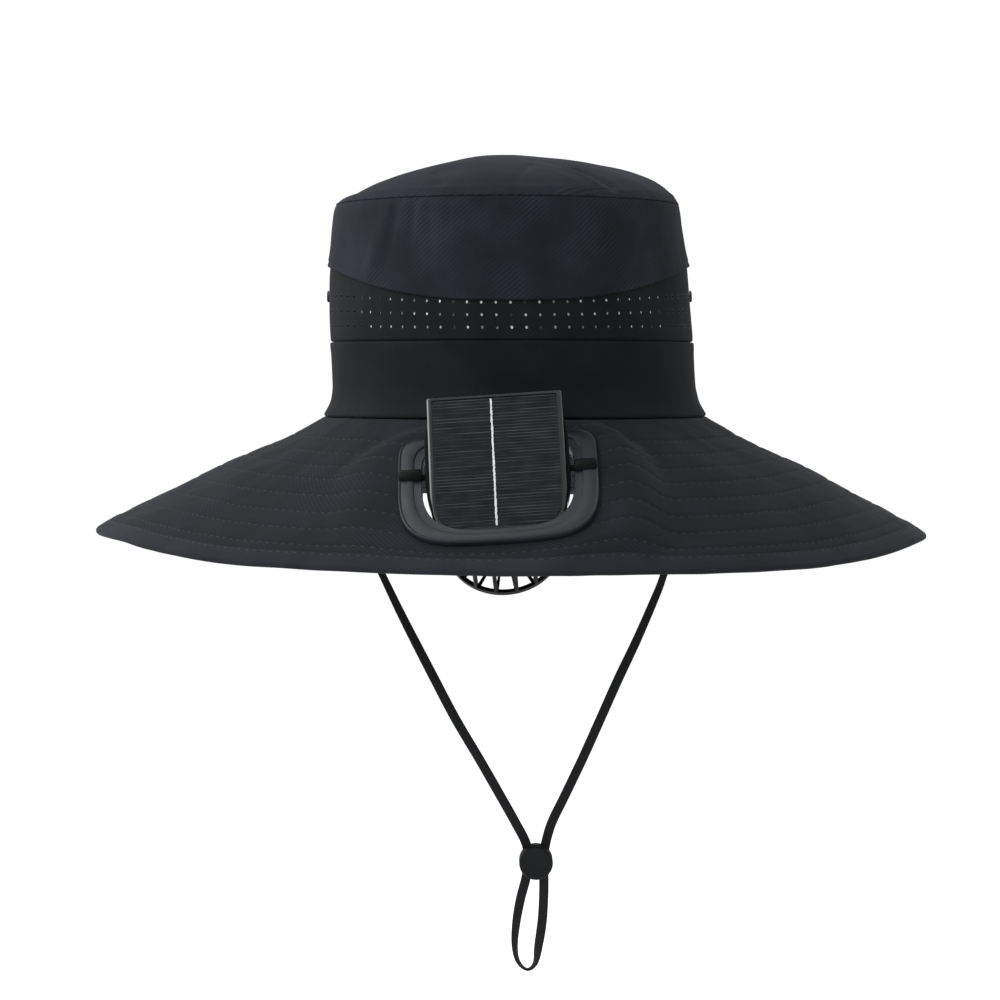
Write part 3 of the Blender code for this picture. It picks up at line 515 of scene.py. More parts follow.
def gridSheet(name, grid, thickness, material, placeUv, flip=False, cut=None, crease=50.0):
    # closed round its columns; the second layer lies below the first
    normals = gridNormals(grid)
    side = -1.0 if flip else 1.0
    rows, columns = len(grid), len(grid[0])
    points = [point for line in grid for point in line]
    for r in range(rows):
        points.extend(grid[r][c] - side * thickness * normals[r][c] for c in range(columns))
    under = rows * columns
    faces = []
    uvs = []

    def addFace(corners):
        faces.append(tuple((under if low else 0) + r * columns + c % columns for r, c, low in corners))
        uvs.append([placeUv(r, c) for r, c, low in corners])

    gone = [[cut is not None and cut(r, c) for c in range(columns)] for r in range(rows - 1)]
    for r in range(rows - 1):
        for c in range(columns):
            if gone[r][c]:
                continue
            addFace(((r, c, False), (r, c + 1, False), (r + 1, c + 1, False), (r + 1, c, False)))
            addFace(((r, c, True), (r + 1, c, True), (r + 1, c + 1, True), (r, c + 1, True)))
            if r == 0 or gone[r - 1][c]:
                addFace(((r, c, False), (r, c, True), (r, c + 1, True), (r, c + 1, False)))
            if r == rows - 2 or gone[r + 1][c]:
                addFace(((r + 1, c, False), (r + 1, c + 1, False), (r + 1, c + 1, True), (r + 1, c, True)))
            if gone[r][(c - 1) % columns]:
                addFace(((r, c, False), (r + 1, c, False), (r + 1, c, True), (r, c, True)))
            if gone[r][(c + 1) % columns]:
                addFace(((r, c + 1, False), (r, c + 1, True), (r + 1, c + 1, True), (r + 1, c + 1, False)))
    return makePiece(name, points, faces, material, uvs=uvs, crease=crease)


# a stitch dips into the cloth at both ends: place along it, width and lift as shares
stitchShape = ((0.0, 0.5, -0.5), (0.2, 1.0, 0.35), (0.8, 1.0, 0.35), (1.0, 0.5, -0.5))


def stitchRows(name, runs, look, material, keep=None):
    # each run is a list of (point, normal) close together; stitches lie along it
    points = []
    faces = []
    for run in runs:
        reach = [0.0]
        for low, high in zip(run, run[1:]):
            reach.append(reach[-1] + (high[0] - low[0]).length)

        def at(distance):
            past = next((k for k, r in enumerate(reach) if r > distance), len(reach) - 1)
            index = min(max(0, past - 1), len(run) - 2)
            share = (distance - reach[index]) / max(1e-9, reach[index + 1] - reach[index])
            return run[index][0].lerp(run[index + 1][0], share), run[index][1]

        for number in range(int(reach[-1] / look["pitch"])):
            start = number * look["pitch"]
            low, normal = at(start)
            high = at(start + look["length"])[0]
            if keep is not None and not (keep(low) and keep(high)):
                continue
            along = (high - low).normalized()
            sideways = along.cross(normal).normalized()
            first = len(points)
            for share, wide, lift in stitchShape:
                middle = low.lerp(high, share) + lift * look["height"] * normal
                points.append(middle + wide * look["width"] / 2.0 * sideways)
                points.append(middle + look["height"] / 2.0 * normal)
                points.append(middle - wide * look["width"] / 2.0 * sideways)
                points.append(middle - look["height"] / 2.0 * normal)
            for station in range(3):
                for k in range(4):
                    a, b = first + 4 * station + k, first + 4 * station + (k + 1) % 4
                    faces.append((a, b, b + 4, a + 4))
            faces.append((first, first + 1, first + 2, first + 3))
            faces.append((first + 12, first + 15, first + 14, first + 13))
    return makePiece(name, points, faces, material, crease=80.0)


# Chin cord: one ribbon, sewn in at both sides, hanging through the stopper. It comes
# first, so that its length is known before anything else is made.

strap = {
    "width": 0.0045,
    "thickness": 0.0010,
    "perRow": 4,
    # half of the section, with rounded selvedges and a faintly crowned face, as shares
    "section": (
        (-1, -0.35),
        (-0.94, -0.8),
        (-0.6, -0.96),
        (0, -1),
        (0.6, -0.96),
        (0.94, -0.8),
        (1, -0.35),
    ),
    # x and z, then the turn in degrees, 0 edge-on to the front and 90 facing it
    "route": (
        (-0.0823, 0.0090, 0),
        (-0.0832, 0.0000, 0),
        (-0.0840, -0.0100, 5),
        (-0.0825, -0.0240, 12),
        (-0.0763, -0.0410, 20),
        (-0.0680, -0.0600, 30),
        (-0.0597, -0.0776, 40),
        (-0.0506, -0.0965, 55),
        (-0.0361, -0.1248, 75),
        (-0.0262, -0.1437, 85),
        (-0.0151, -0.1625, 90),
        (-0.0043, -0.1814, 90),
        (0.0030, -0.1945, 90),
        (0.0072, -0.2030, 90),
        (0.0082, -0.2110, 90),
        (0.0072, -0.2190, 90),
        (0.0046, -0.2290, 80),
        (0.0026, -0.2400, 60),
        (0.0018, -0.2510, 35),
        (0.0033, -0.2590, 15),
        (0.0076, -0.2630, 0),
        (0.0115, -0.2600, 20),
        (0.0131, -0.2515, 60),
        (0.0148, -0.2400, 85),
        (0.0155, -0.2286, 90),
        (0.0156, -0.2190, 90),
        (0.0154, -0.2110, 90),
        (0.0164, -0.2030, 90),
        (0.0193, -0.1930, 90),
        (0.0249, -0.1814, 90),
        (0.0339, -0.1625, 90),
        (0.0423, -0.1437, 85),
        (0.0507, -0.1248, 75),
        (0.0596, -0.1059, 60),
        (0.0677, -0.0871, 48),
        (0.0714, -0.0776, 40),
        (0.0786, -0.0550, 28),
        (0.0835, -0.0340, 15),
        (0.0860, -0.0160, 5),
        (0.0866, -0.0030, 0),
        (0.0852, 0.0090, 0),
    ),
}


def routePoint(rows, place):
    row = min(int(place), len(rows) - 2)
    share = place - row
    before, low = rows[max(row - 1, 0)], rows[row]
    high, after = rows[row + 1], rows[min(row + 2, len(rows) - 1)]
    result = []
    for a, b, c, d in zip(before, low, high, after):
        curve = (2.0 * a - 5.0 * b + 4.0 * c - d) * share**2 + (3.0 * b - a - 3.0 * c + d) * share**3
        result.append(0.5 * (2.0 * b + (c - a) * share + curve))
    return result


def makeStrap():
    rows = strap["route"]
    last = len(rows) - 1
    stations = strap["perRow"] * last
    halfWidth = strap["width"] / 2.0
    halfThick = strap["thickness"] / 2.0
    section = [(across * halfWidth, up * halfThick) for across, up in strap["section"]]
    section += [(-across, -up) for across, up in section]
    loops = []
    path = []
    for station in range(stations + 1):
        place = station / strap["perRow"]
        x, z, turn = routePoint(rows, place)
        ahead = routePoint(rows, min(place + 0.05, last))
        behind = routePoint(rows, max(place - 0.05, 0.0))
        along = Vector((ahead[0] - behind[0], 0.0, ahead[1] - behind[1])).normalized()
        side = along.cross(Vector((0.0, 1.0, 0.0)))
        wide = math.cos(math.radians(turn)) * Vector((0.0, 1.0, 0.0)) + math.sin(math.radians(turn)) * side
        thick = along.cross(wide)
        centre = Vector((x, 0.0, z))
        path.append(centre)
        loops.append([centre + a * wide + b * thick for a, b in section])
    reach = [0.0]
    for low, high in zip(path, path[1:]):
        reach.append(reach[-1] + (high - low).length)
    count = len(section)
    run = [k * strap["width"] * 2.2 / count for k in range(count + 1)]
    points = [point for loop in loops for point in loop]
    faces = []
    uvs = []
    for row in range(stations):
        for k in range(count):
            after = (k + 1) % count
            near, far = row * count, (row + 1) * count
            faces.append((near + k, near + after, far + after, far + k))
            low, high = reach[row], reach[row + 1]
            uvs.append([(run[k], low), (run[k + 1], low), (run[k + 1], high), (run[k], high)])
    for start in (0, stations * count):
        faces.append(tuple(range(start, start + count)))
        uvs.append([(0.0, 0.0)] * count)
    made = makePiece("chinRibbon", points, faces, strapWebbing, uvs=uvs, crease=60.0)
    return made, path, reach[-1]


# Cord stopper: a round polypropylene body with a sprung button facing the front

stopper = {
    "centre": (0.0118, 0.0, -0.2110),
    "radius": 0.0080,
    "halfDepth": 0.0045,
    "slotHalfWidth": 0.0066,
    "slotHalfDepth": 0.0010,
    "buttonSeat": 0.0068,
    "buttonCap": 0.0024,
    "stemRadius": 0.0030,
    "gap": 0.0003,
}
stopperPlace = Matrix.Translation(stopper["centre"]) @ Matrix.Rotation(math.pi / 2.0, 4, "X")


def makeStopper():
    r, d, s = stopper["radius"], stopper["halfDepth"], stopper["stemRadius"]
    floor = stopper["slotHalfDepth"] + 2.0 * stopper["gap"]
    profile = (
        (0.0, -d),
        (r - 0.0014, -d),
        (r - 0.0005, -d + 0.0003),
        (r - 0.0001, -d + 0.0009),
        (r, -d + 0.0015),
        (r, d - 0.0008),
        (r - 0.0002, d - 0.0003),
        (r - 0.0006, d),
        (s + 0.0008, d),
        (s + stopper["gap"], d - 0.0004),
        (s + stopper["gap"], floor),
        (0.0, floor),
    )
    body = turned("stopperBody", profile, 64, blackPolypropylene, stopperPlace, 40.0)
    across, up = stopper["slotHalfWidth"], stopper["slotHalfDepth"]
    loops = []
    for level in (-2.0 * r, 2.0 * r):
        cut = across - 0.4 * up
        corner = [(-across, -0.5 * up), (-cut, -up), (cut, -up), (across, -0.5 * up)]
        corner += [(-a, -b) for a, b in corner]
        loops.append([Vector((x, level, z)) for x, z in corner])
    join(body, [cappedBody("slotCutter", loops, blackPolypropylene, stopperPlace)], "DIFFERENCE")
    seat, cap, foot = stopper["buttonSeat"] + stopper["gap"] - 0.0003, stopper["buttonCap"], floor + 0.0023
    # a moulded cap, slightly dished, with a rounded rim
    profile = (
        (0.0, foot),
        (s - 0.0003, foot),
        (s, foot + 0.0003),
        (s, seat),
        (r - 0.0005, seat),
        (r - 0.0001, seat + 0.0003),
        (r, seat + 0.0008),
        (r, seat + cap - 0.0010),
        (r - 0.0002, seat + cap - 0.0004),
        (r - 0.0007, seat + cap - 0.00005),
        (r - 0.0012, seat + cap),
        (r - 0.0022, seat + cap - 0.0001),
        (0.5 * r, seat + cap - 0.0002),
        (0.0, seat + cap - 0.00025),
    )
    button = turned("stopperCap", profile, 64, blackPolypropylene, stopperPlace, 40.0)
    return body, button


chinRibbon, strapPath, strapLength = makeStrap()
stopperBody, stopperCap = makeStopper()
print("chin cord made, %.3f m" % strapLength)


# Crown shape, repeated from the source with smoother curves between its rows

crown = {
    "halfWidth": 0.0853,
    "halfDepth": 0.0985,
    "wallHeight": 0.0985,
    "domeHeight": 0.0235,
    "cloth": 0.0018,
    "ventBottom": 0.0345,
    "ventTopFront": 0.0525,
    "ventTopSide": 0.0700,
    "ventTopBend": 2.8,
    "arcRadius": 0.092,
    "columns": 288,
    "gap": 0.0003,
    "tape": 0.0005,
    # height from the seam and depth behind the inner face of the cloth
    "tapeRows": ((-0.0048, 0.0011), (-0.0016, 0.0007), (0.0016, 0.0007), (0.0036, 0.0010)),
    "topTuck": 0.0001,
    # the wall's lower edge laps over the vent cloth, stitched a little above it
    "lap": 0.0004,
    "lapStitch": 0.0026,
    # broad and fine slack of the cloth: length across, length along and push
    "slack": (0.028, 0.045, 0.0007),
    "ripple": (0.009, 0.016, 0.00018),
    "gatherPitch": 0.0051,
    # height share, half width, half depth and lean as shares
    "sections": (
        (0.00, 1.058, 1.046, 0.022),
        (0.04, 1.033, 1.027, 0.022),
        (0.08, 1.015, 1.013, 0.021),
        (0.15, 1.002, 1.002, 0.016),
        (0.35, 0.998, 1.000, 0.004),
        (0.54, 0.992, 0.994, -0.008),
        (0.68, 0.988, 0.988, -0.012),
        (0.82, 0.977, 0.976, -0.018),
        (0.92, 0.963, 0.962, -0.022),
        (0.96, 0.957, 0.956, -0.022),
        (1.00, 0.943, 0.944, -0.020),
    ),
    # degrees from the front, height share, spread in degrees and in height, push outward
    "folds": (
        (-28, 0.45, 9, 0.35, -0.008),
        (-12, 0.55, 8, 0.40, 0.006),
        (24, 0.40, 10, 0.40, -0.007),
        (48, 0.75, 10, 0.20, -0.012),
        (140, 0.50, 18, 0.40, -0.014),
        (-150, 0.50, 18, 0.40, -0.012),
    ),
    # share of the radius and share of the dome's height
    "dome": ((0.00, 1.00), (0.26, 0.92), (0.57, 0.735), (0.83, 0.435), (0.965, 0.14), (1.00, 0.00)),
    # place across and along as shares, spread, push upward as a share of the dome
    "dents": (
        (-0.68, 0.00, 0.33, -0.22),
        (0.78, 0.00, 0.25, 0.08),
        (0.34, -0.52, 0.14, -0.06),
        (-0.30, -0.62, 0.12, -0.05),
        (0.05, 0.55, 0.30, -0.06),
    ),
    # fine creases of the wall: arc length from the front and height in metres, half
    # length, half width, turn in degrees, push outward
    "creases": (
        (-0.062, 0.086, 0.012, 0.0022, 78, -0.0009),
        (-0.050, 0.087, 0.010, 0.0020, 84, -0.0010),
        (-0.040, 0.088, 0.011, 0.0020, 97, -0.0008),
        (-0.030, 0.088, 0.009, 0.0018, 88, -0.0007),
        (0.052, 0.082, 0.018, 0.0030, 40, -0.0012),
        (0.066, 0.074, 0.016, 0.0035, 62, 0.0010),
        (-0.075, 0.070, 0.022, 0.0050, 70, 0.0012),
        (0.020, 0.076, 0.020, 0.0045, 110, -0.0007),
        (-0.012, 0.072, 0.018, 0.0050, 75, 0.0007),
    ),
    # creases of the dome: from and to, across and along in metres, half width, push
    "domeCreases": (
        (0.031, -0.052, 0.054, -0.076, 0.0028, -0.0016),
        (0.026, -0.058, 0.047, -0.080, 0.0030, 0.0010),
        (-0.030, -0.078, -0.033, -0.060, 0.0018, -0.0007),
        (0.004, -0.084, 0.010, -0.060, 0.0024, -0.0007),
        (-0.058, -0.030, -0.050, 0.010, 0.0050, -0.0010),
        (0.020, 0.030, 0.045, 0.052, 0.0040, -0.0010),
    ),
    "domeRings": 46,
}
crownSlots = {}


def angleBetween(first, second):
    return (second - first + math.pi) % (2.0 * math.pi) - math.pi


def crownPoint(angle, height):
    share = height / crown["wallHeight"]
    key = round(share, 5)
    if key not in crownSlots:
        crownSlots[key] = [tableValue(crown["sections"], share, column) for column in (1, 2, 3)]
    width, depth, lean = crownSlots[key]
    swell = 1.0
    for degrees, level, wide, rise, push in crown["folds"]:
        away = math.degrees(angleBetween(math.radians(degrees), angle))
        if abs(away) < 3.0 * wide:
            swell += push * hump(away, wide) * hump(share - level, rise)
    x = crown["halfWidth"] * (lean + width * swell * math.sin(angle))
    return Vector((x, -crown["halfDepth"] * depth * swell * math.cos(angle), height))


def crownOut(angle, height):
    step = 0.002
    across = crownPoint(angle + step, height) - crownPoint(angle - step, height)
    high = crownPoint(angle, min(height + step, crown["wallHeight"]))
    low = crownPoint(angle, max(height - step, 0.0))
    return across.cross(high - low).normalized()


def crownArc(angle):
    return crown["arcRadius"] * angle


def columnAngle(column, columns):
    # columns run from the back round to the back, with the front at 0
    return -math.pi + 2.0 * math.pi * column / columns


def ventTop(angle):
    side = abs(math.sin(angle)) ** crown["ventTopBend"]
    return crown["ventTopFront"] + (crown["ventTopSide"] - crown["ventTopFront"]) * side


def wrinkles(angle, height):
    # small folds and slack of the sewn cloth, outward positive
    arc = crownArc(angleBetween(0.0, angle))
    push = 0.0
    for place, level, long, wide, turn, depth in crown["creases"]:
        c, s = math.cos(math.radians(turn)), math.sin(math.radians(turn))
        along = (arc - place) * c + (height - level) * s
        across = (height - level) * c - (arc - place) * s
        if abs(along) < 2.5 * long and abs(across) < 3.0 * wide:
            push += depth * hump(along, long) * hump(across, wide)
    for seed, (wide, tall, depth) in ((1.7, crown["slack"]), (5.2, crown["ripple"])):
        push += depth * noise.noise(Vector((arc / wide, height / tall, seed)))
    return push


def seamPucker(arc, distance, strength):
    # gathers that a row of stitches pulls into the cloth beside it
    wave = math.sin(2.0 * math.pi * arc / crown["gatherPitch"])
    wave += 0.6 * noise.noise(Vector((arc / 0.006, 3.1, 0.0)))
    return strength * wave * hump(distance, 0.0045)


def roundedEdge(distance, radius):
    # how far cloth turns in where it folds over at an edge
    if distance >= radius:
        return 0.0
    share = 1.0 - distance / radius
    return -radius * (1.0 - math.sqrt(max(0.0, 1.0 - share * share)))


def wallGrid(levels, shape):
    grid = []
    for level in levels:
        line = []
        for c in range(crown["columns"]):
            angle = columnAngle(c, crown["columns"])
            height = level(angle)
            line.append(crownPoint(angle, height) + shape(angle, height) * crownOut(angle, height))
        grid.append(line)
    return grid


def wallUv(levels):
    def place(r, c):
        angle = columnAngle(c, crown["columns"])
        return crownArc(angle), levels[r](angle)

    return place


def edgeShares(count):
    # rows crowd together near both folded edges
    middle = [0.05 + 0.90 * k / (count - 1) for k in range(count)]
    return [0.0, 0.004, 0.012, 0.025] + middle + [0.975, 0.988, 0.996, 1.0]


def makeCrownSide():
    # its lower edge is folded under and lies over the vent cloth
    end = crown["wallHeight"] + crown["topTuck"]
    lap = crown["lap"]
    levels = []
    for share in edgeShares(26):
        levels.append(lambda a, s=share: ventTop(a) - lap + s * (end - ventTop(a) + lap))

    def shape(angle, height):
        low = height - ventTop(angle) + lap
        high = end - height
        arc = crownArc(angleBetween(0.0, angle))
        left = 0.25 + 0.75 * hump(math.degrees(angleBetween(math.radians(-34), angle)), 16)
        push = wrinkles(angle, height) * smoothStep(low / 0.006) * smoothStep(high / 0.003)
        push += seamPucker(arc, high, 0.00030 * left) + seamPucker(arc + 0.002, low, 0.00010)
        push += 0.0008 * hump(low, 0.007) - 0.00035 * hump(low - crown["lapStitch"], 0.0005)
        return push + roundedEdge(low, 0.0007) + roundedEdge(high, 0.0009)

    made = gridSheet("crownWall", wallGrid(levels, shape), crown["cloth"], crownTwill, wallUv(levels))
    run = []
    for c in range(crown["columns"] + 1):
        angle = columnAngle(c, crown["columns"])
        height = ventTop(angle) - lap + crown["lapStitch"]
        out = crownOut(angle, height)
        run.append((crownPoint(angle, height) + shape(angle, height) * out, out))
    return made, run


def makeCrownFoot():
    end = crown["ventBottom"] - crown["gap"] / 2.0
    levels = []
    for share in edgeShares(18):
        levels.append(lambda a, s=share: crown["gap"] + s * (end - crown["gap"]))

    def shape(angle, height):
        low = height - crown["gap"]
        high = end - height
        arc = crownArc(angleBetween(0.0, angle))
        push = 0.8 * wrinkles(angle, height) * smoothStep(low / 0.006) * smoothStep(high / 0.003)
        push += seamPucker(arc, low, 0.00014) + seamPucker(arc + 0.001, high, 0.00008)
        return push + roundedEdge(low, 0.0010) + roundedEdge(high, 0.0009) + 0.0003 * hump(high, 0.004)

    return gridSheet("crownFoot", wallGrid(levels, shape), crown["cloth"], ventTwill, wallUv(levels))


def makeSeamTape():
    # narrow tape over the seam inside, between the vent cloth and the foot
    rows = [(height, crown["cloth"] + behind) for height, behind in crown["tapeRows"]]
    rows += [(height, depth + crown["tape"]) for height, depth in reversed(rows)]
    loops = []
    for offset, depth in rows:
        line = []
        for c in range(crown["columns"]):
            angle = columnAngle(c, crown["columns"])
            height = crown["ventBottom"] + offset
            line.append(crownPoint(angle, height) - depth * crownOut(angle, height))
        loops.append(line)
    return loopBand("seamTape", loops, tapeCloth, crease=60.0)


def makeCrownTop():
    angles = [columnAngle(c, crown["columns"]) for c in range(crown["columns"])]
    seam = [crownPoint(a, crown["wallHeight"]) for a in angles]
    middle = sum(seam, Vector()) / len(seam)
    base = crown["wallHeight"] + crown["gap"] / 2.0

    def rise(radius, across, along):
        swell = tableValue(crown["dome"], radius, 1)
        for x, y, wide, push in crown["dents"]:
            far = math.hypot(across / crown["halfWidth"] - x, along / crown["halfDepth"] - y)
            swell += push * hump(far, wide) * min(1.0, 4.0 * swell)
        lift = crown["domeHeight"] * swell
        inner = smoothStep((1.0 - radius) / 0.08)
        for x1, y1, x2, y2, wide, push in crown["domeCreases"]:
            span = Vector((x2 - x1, y2 - y1))
            t = max(0.0, min(1.0, Vector((across - x1, along - y1)).dot(span) / span.length_squared))
            far = (Vector((across, along)) - Vector((x1, y1)) - t * span).length
            lift += push * hump(far, wide) * inner
        slack = noise.noise(Vector((across / 0.030, along / 0.030, 8.3)))
        fine = noise.noise(Vector((across / 0.010, along / 0.010, 2.3)))
        lift += (0.0008 * slack + 0.0002 * fine) * inner
        return lift

    grid = []
    for k in range(crown["domeRings"] + 1):
        radius = 1.0 - (k / crown["domeRings"]) ** 0.9 if k else 1.0
        radius = max(radius, 0.004)
        line = []
        for angle, point in zip(angles, seam):
            across = radius * (point.x - middle.x)
            along = radius * (point.y - middle.y)
            edge = (1.0 - radius) * crown["halfWidth"]
            lift = rise(radius, across, along) + seamPucker(crownArc(angle), edge, 0.00020)
            lift += 0.0006 * hump(edge - 0.0022, 0.0016)
            line.append(Vector((middle.x + across, middle.y + along, base + lift)))
        grid.append(line)

    def place(r, c):
        point = grid[r][c % crown["columns"]]
        return point.x, point.y

    return gridSheet("crownDome", grid, crown["cloth"], crownTwill, place, crease=70.0)


# Vent band: dark cloth with three rows of punched holes over its front half

vent = {
    "frontColumns": 41,
    "backColumns": 30,
    "holeRadius": 0.00068,
    "edgeRadius": 0.00110,
    "pitchFront": 0.0055,
    "pitchSide": 0.0071,
    "holeLightDepth": 0.00045,
    "perSide": 4,
    "holeLightReach": 57.0,  # degrees from the front
}


def holePitch(angle):
    return vent["pitchFront"] + (vent["pitchSide"] - vent["pitchFront"]) * math.sin(angle) ** 2


def makeVentBand():
    low = crown["ventBottom"] + crown["gap"] / 2.0
    points = []
    faces = []
    uvs = []
    slots = []
    discPoints = []
    discFaces = []

    def shape(angle, height):
        near = ventTop(angle) - height
        push = 0.7 * wrinkles(angle, height) * smoothStep(near / 0.005) * smoothStep((height - low) / 0.004)
        return push - 0.0004 * hump(near, 0.004) + roundedEdge(height - low, 0.0007)

    def wall(angle, height, depth):
        out = crownOut(angle, height)
        return crownPoint(angle, height) + (shape(angle, height) - depth) * out

    def addPoint(angle, height, depth):
        points.append(wall(angle, height, depth))
        return len(points) - 1

    def levels(angle):
        p = holePitch(angle)
        return [low, low + 0.25 * p, low + 0.5 * p, low + 1.5 * p, low + 2.5 * p, ventTop(angle) + 0.0006]

    def cell(left, right, row, hole):
        n = vent["perSide"]
        border = []
        for k in range(n):
            border.append((left + (right - left) * k / n, 0.0))
        for k in range(n):
            border.append((right, k / n))
        for k in range(n):
            border.append((right - (right - left) * k / n, 1.0))
        for k in range(n):
            border.append((left, 1.0 - k / n))

        def heightAt(angle, share):
            marks = levels(angle)
            return marks[row] + share * (marks[row + 1] - marks[row])

        for depth in (0.0, crown["cloth"]):
            outer = [(a, heightAt(a, share)) for a, share in border]
            if not hole:
                mid = (left + right) / 2.0
                centre = addPoint(mid, heightAt(mid, 0.5), depth)
                ids = [addPoint(a, h, depth) for a, h in outer]
                for k in range(len(ids)):
                    after = (k + 1) % len(ids)
                    faces.append((ids[k], ids[after], centre))
                    triangle = (outer[k], outer[after], (mid, heightAt(mid, 0.5)))
                    uvs.append([(crownArc(a), h) for a, h in triangle])
                    slots.append(0)
                continue
            mid = (left + right) / 2.0
            level = low + (row - 1) * holePitch(mid)
            reach = crownPoint(mid, level).xy.length
            rings = [outer]
            for radius in (vent["edgeRadius"], vent["holeRadius"]):
                ring = []
                for k in range(len(outer)):
                    turn = -0.75 * math.pi + 2.0 * math.pi * k / len(outer)
                    ring.append((mid + radius * math.cos(turn) / reach, level + radius * math.sin(turn)))
                rings.append(ring)
            ids = [[addPoint(a, h, depth) for a, h in ring] for ring in rings]
            for near in range(2):
                for k in range(len(outer)):
                    after = (k + 1) % len(outer)
                    corners = ((near, k), (near, after), (near + 1, after), (near + 1, k))
                    faces.append(tuple(ids[r][c] for r, c in corners))
                    uvs.append([(crownArc(rings[r][c][0]), rings[r][c][1]) for r, c in corners])
                    slots.append(1 if near == 1 and depth == 0.0 else 0)
            if depth == 0.0:
                mouth = ids[2]
                # near the front, a pale disc in the hole: painted light seen through it
                if abs(math.degrees(mid)) < vent["holeLightReach"]:
                    first = len(discPoints)
                    for a, h in rings[2]:
                        discPoints.append(wall(a, h, vent["holeLightDepth"]))
                    discFaces.append(tuple(range(first, first + len(outer))))
            else:
                for k in range(len(outer)):
                    after = (k + 1) % len(outer)
                    faces.append((mouth[k], mouth[after], ids[2][after], ids[2][k]))
                    spot = (crownArc(mid), level)
                    uvs.append([spot, spot, spot, spot])
                    slots.append(1)

    for column in range(vent["frontColumns"] + vent["backColumns"]):
        front = column < vent["frontColumns"]
        if front:
            step = math.pi / vent["frontColumns"]
            left = -math.pi / 2.0 + step * column
        else:
            step = math.pi / vent["backColumns"]
            left = math.pi / 2.0 + step * (column - vent["frontColumns"])
        for row in range(5):
            cell(left, left + step, row, front and row >= 2)
    finishes = [ventTwill, sealedEdge]
    made = makePiece("ventBand", points, faces, finishes, uvs=uvs, crease=50.0, faceSlots=slots)
    shaped = bmesh.new()
    shaped.from_mesh(made.data)
    bmesh.ops.remove_doubles(shaped, verts=shaped.verts, dist=0.00002)
    bmesh.ops.recalc_face_normals(shaped, faces=shaped.faces)
    shaped.to_mesh(made.data)
    shaped.free()
    made.data.shade_smooth()
    made.data.set_sharp_from_angle(angle=math.radians(50))
    discs = makePiece("paintedHoleLightDots", discPoints, discFaces, paintedHoleLight)
    return made, discs


crownWall, overlapRun = makeCrownSide()
crownFoot = makeCrownFoot()
seamTape = makeSeamTape()
crownDome = makeCrownTop()
ventBand, paintedHoleLightDots = makeVentBand()
seamStitch = {"pitch": 0.0030, "length": 0.0021, "width": 0.00035, "height": 0.00025}
overlapStitches = stitchRows("overlapStitches", [overlapRun], seamStitch, darkThread)
print("crown made")


# Side eyelets: small black enamelled rings

eyelet = {"radius": 0.00275, "hole": 0.0012, "height": 0.0010, "level": 0.0560}


def makeEyelet(name, side):
    angle = side * math.pi / 2.0
    out = crownOut(angle, eyelet["level"])
    foot = crownPoint(angle, eyelet["level"]) + crown["gap"] * out
    place = Matrix.Translation(foot) @ out.to_track_quat("Z", "Y").to_matrix().to_4x4()
    r, h, top = eyelet["radius"], eyelet["hole"], eyelet["height"]
    profile = (
        (h, 0.0),
        (r, 0.0),
        (r, 0.35 * top),
        (0.96 * r, 0.65 * top),
        (0.84 * r, 0.92 * top),
        (0.74 * r, top),
        (0.62 * r, 0.94 * top),
        (1.12 * h, 0.70 * top),
        (h, 0.40 * top),
    )
    return loopBand(name, [circle(radius, z, 40) for radius, z in profile], blackEnamel, place, 60.0)


eyelets = [makeEyelet("eyeletLeft", -1), makeEyelet("eyeletRight", 1)]


# Fan ring and module, in the frames of the source

fan = {
    # seat of the pivots on the brim: sideways, down the slope from the seam, two turns in degrees
    "centreX": -0.0060,
    "run": 0.0445,
    "roll": 1.0,
    "tilt": 3.8,
    # bezel and its opening, up and down from the pivots
    "halfWidth": 0.0428,
    "up": 0.0295,
    "down": 0.0517,
    "openHalfWidth": 0.0326,
    "openUp": 0.0240,
    "openDown": 0.0425,
    "height": 0.0021,
    "step": 0.0006,
    "lift": 0.0010,
    "collar": 0.27,
    "clampHeight": 0.0022,
    "clampInset": 0.0010,
    "knuckleRadius": 0.0040,
    "knuckleLength": 0.0096,
    "pinRadius": 0.0015,
    "lean": 22.4,  # degrees that the tray stands off the ring at rest
    "wall": 0.0016,
    "slit": 0.0016,
    "trayUp": 0.0310,
    "trayFront": 0.0032,
    "trayBack": 0.0016,
    "drumRadius": 0.0270,
    "drumOffset": 0.0085,
    "drumDepth": 0.0215,
    "grilleDepth": 0.0208,
    "ribs": 18,
    "ribShare": 0.18,  # of the spacing
    "grilleHub": 0.0105,
    "motorRadius": 0.0095,
    "motorLength": 0.0190,
    "shaftRadius": 0.0010,
    "shaftLength": 0.0070,
    "rotorGap": 0.0010,
    "hubRadius": 0.0110,
    "hubLength": 0.0100,
    "blades": 7,
    "bladeWidth": 0.0105,
    "bladeThickness": 0.0010,
    "bladePitch": 38.0,
    "tipClearance": 0.0013,
    "hemGap": 0.0116,
    "hemWidth": 0.0090,
    "rimDropFront": 0.0620,
    "gap": 0.0003,
    "cloth": 0.0020,
}
seamFront = crown["halfDepth"] * crown["sections"][0][2]
brimRun = fan["run"] + fan["down"] + fan["hemGap"] + fan["hemWidth"]
slope = math.asin(fan["rimDropFront"] / brimRun)
seatPlace = (
    Matrix.Translation((fan["centreX"], -seamFront, 0.0))
    @ Matrix.Rotation(slope, 4, "X")
    @ Matrix.Translation((0.0, -fan["run"], 0.0))
    @ Matrix.Rotation(math.radians(fan["roll"]), 4, "Z")
    @ Matrix.Rotation(math.radians(-fan["tilt"]), 4, "Y")
)
ringPlace = seatPlace @ Matrix.Translation((0.0, 0.0, fan["lift"]))
modulePlace = ringPlace @ Matrix.Rotation(math.radians(fan["lean"]), 4, "X")
drumPlace = modulePlace @ Matrix.Translation((0.0, -fan["drumOffset"], 0.0))
flangeUnder = fan["gap"] - fan["lift"]
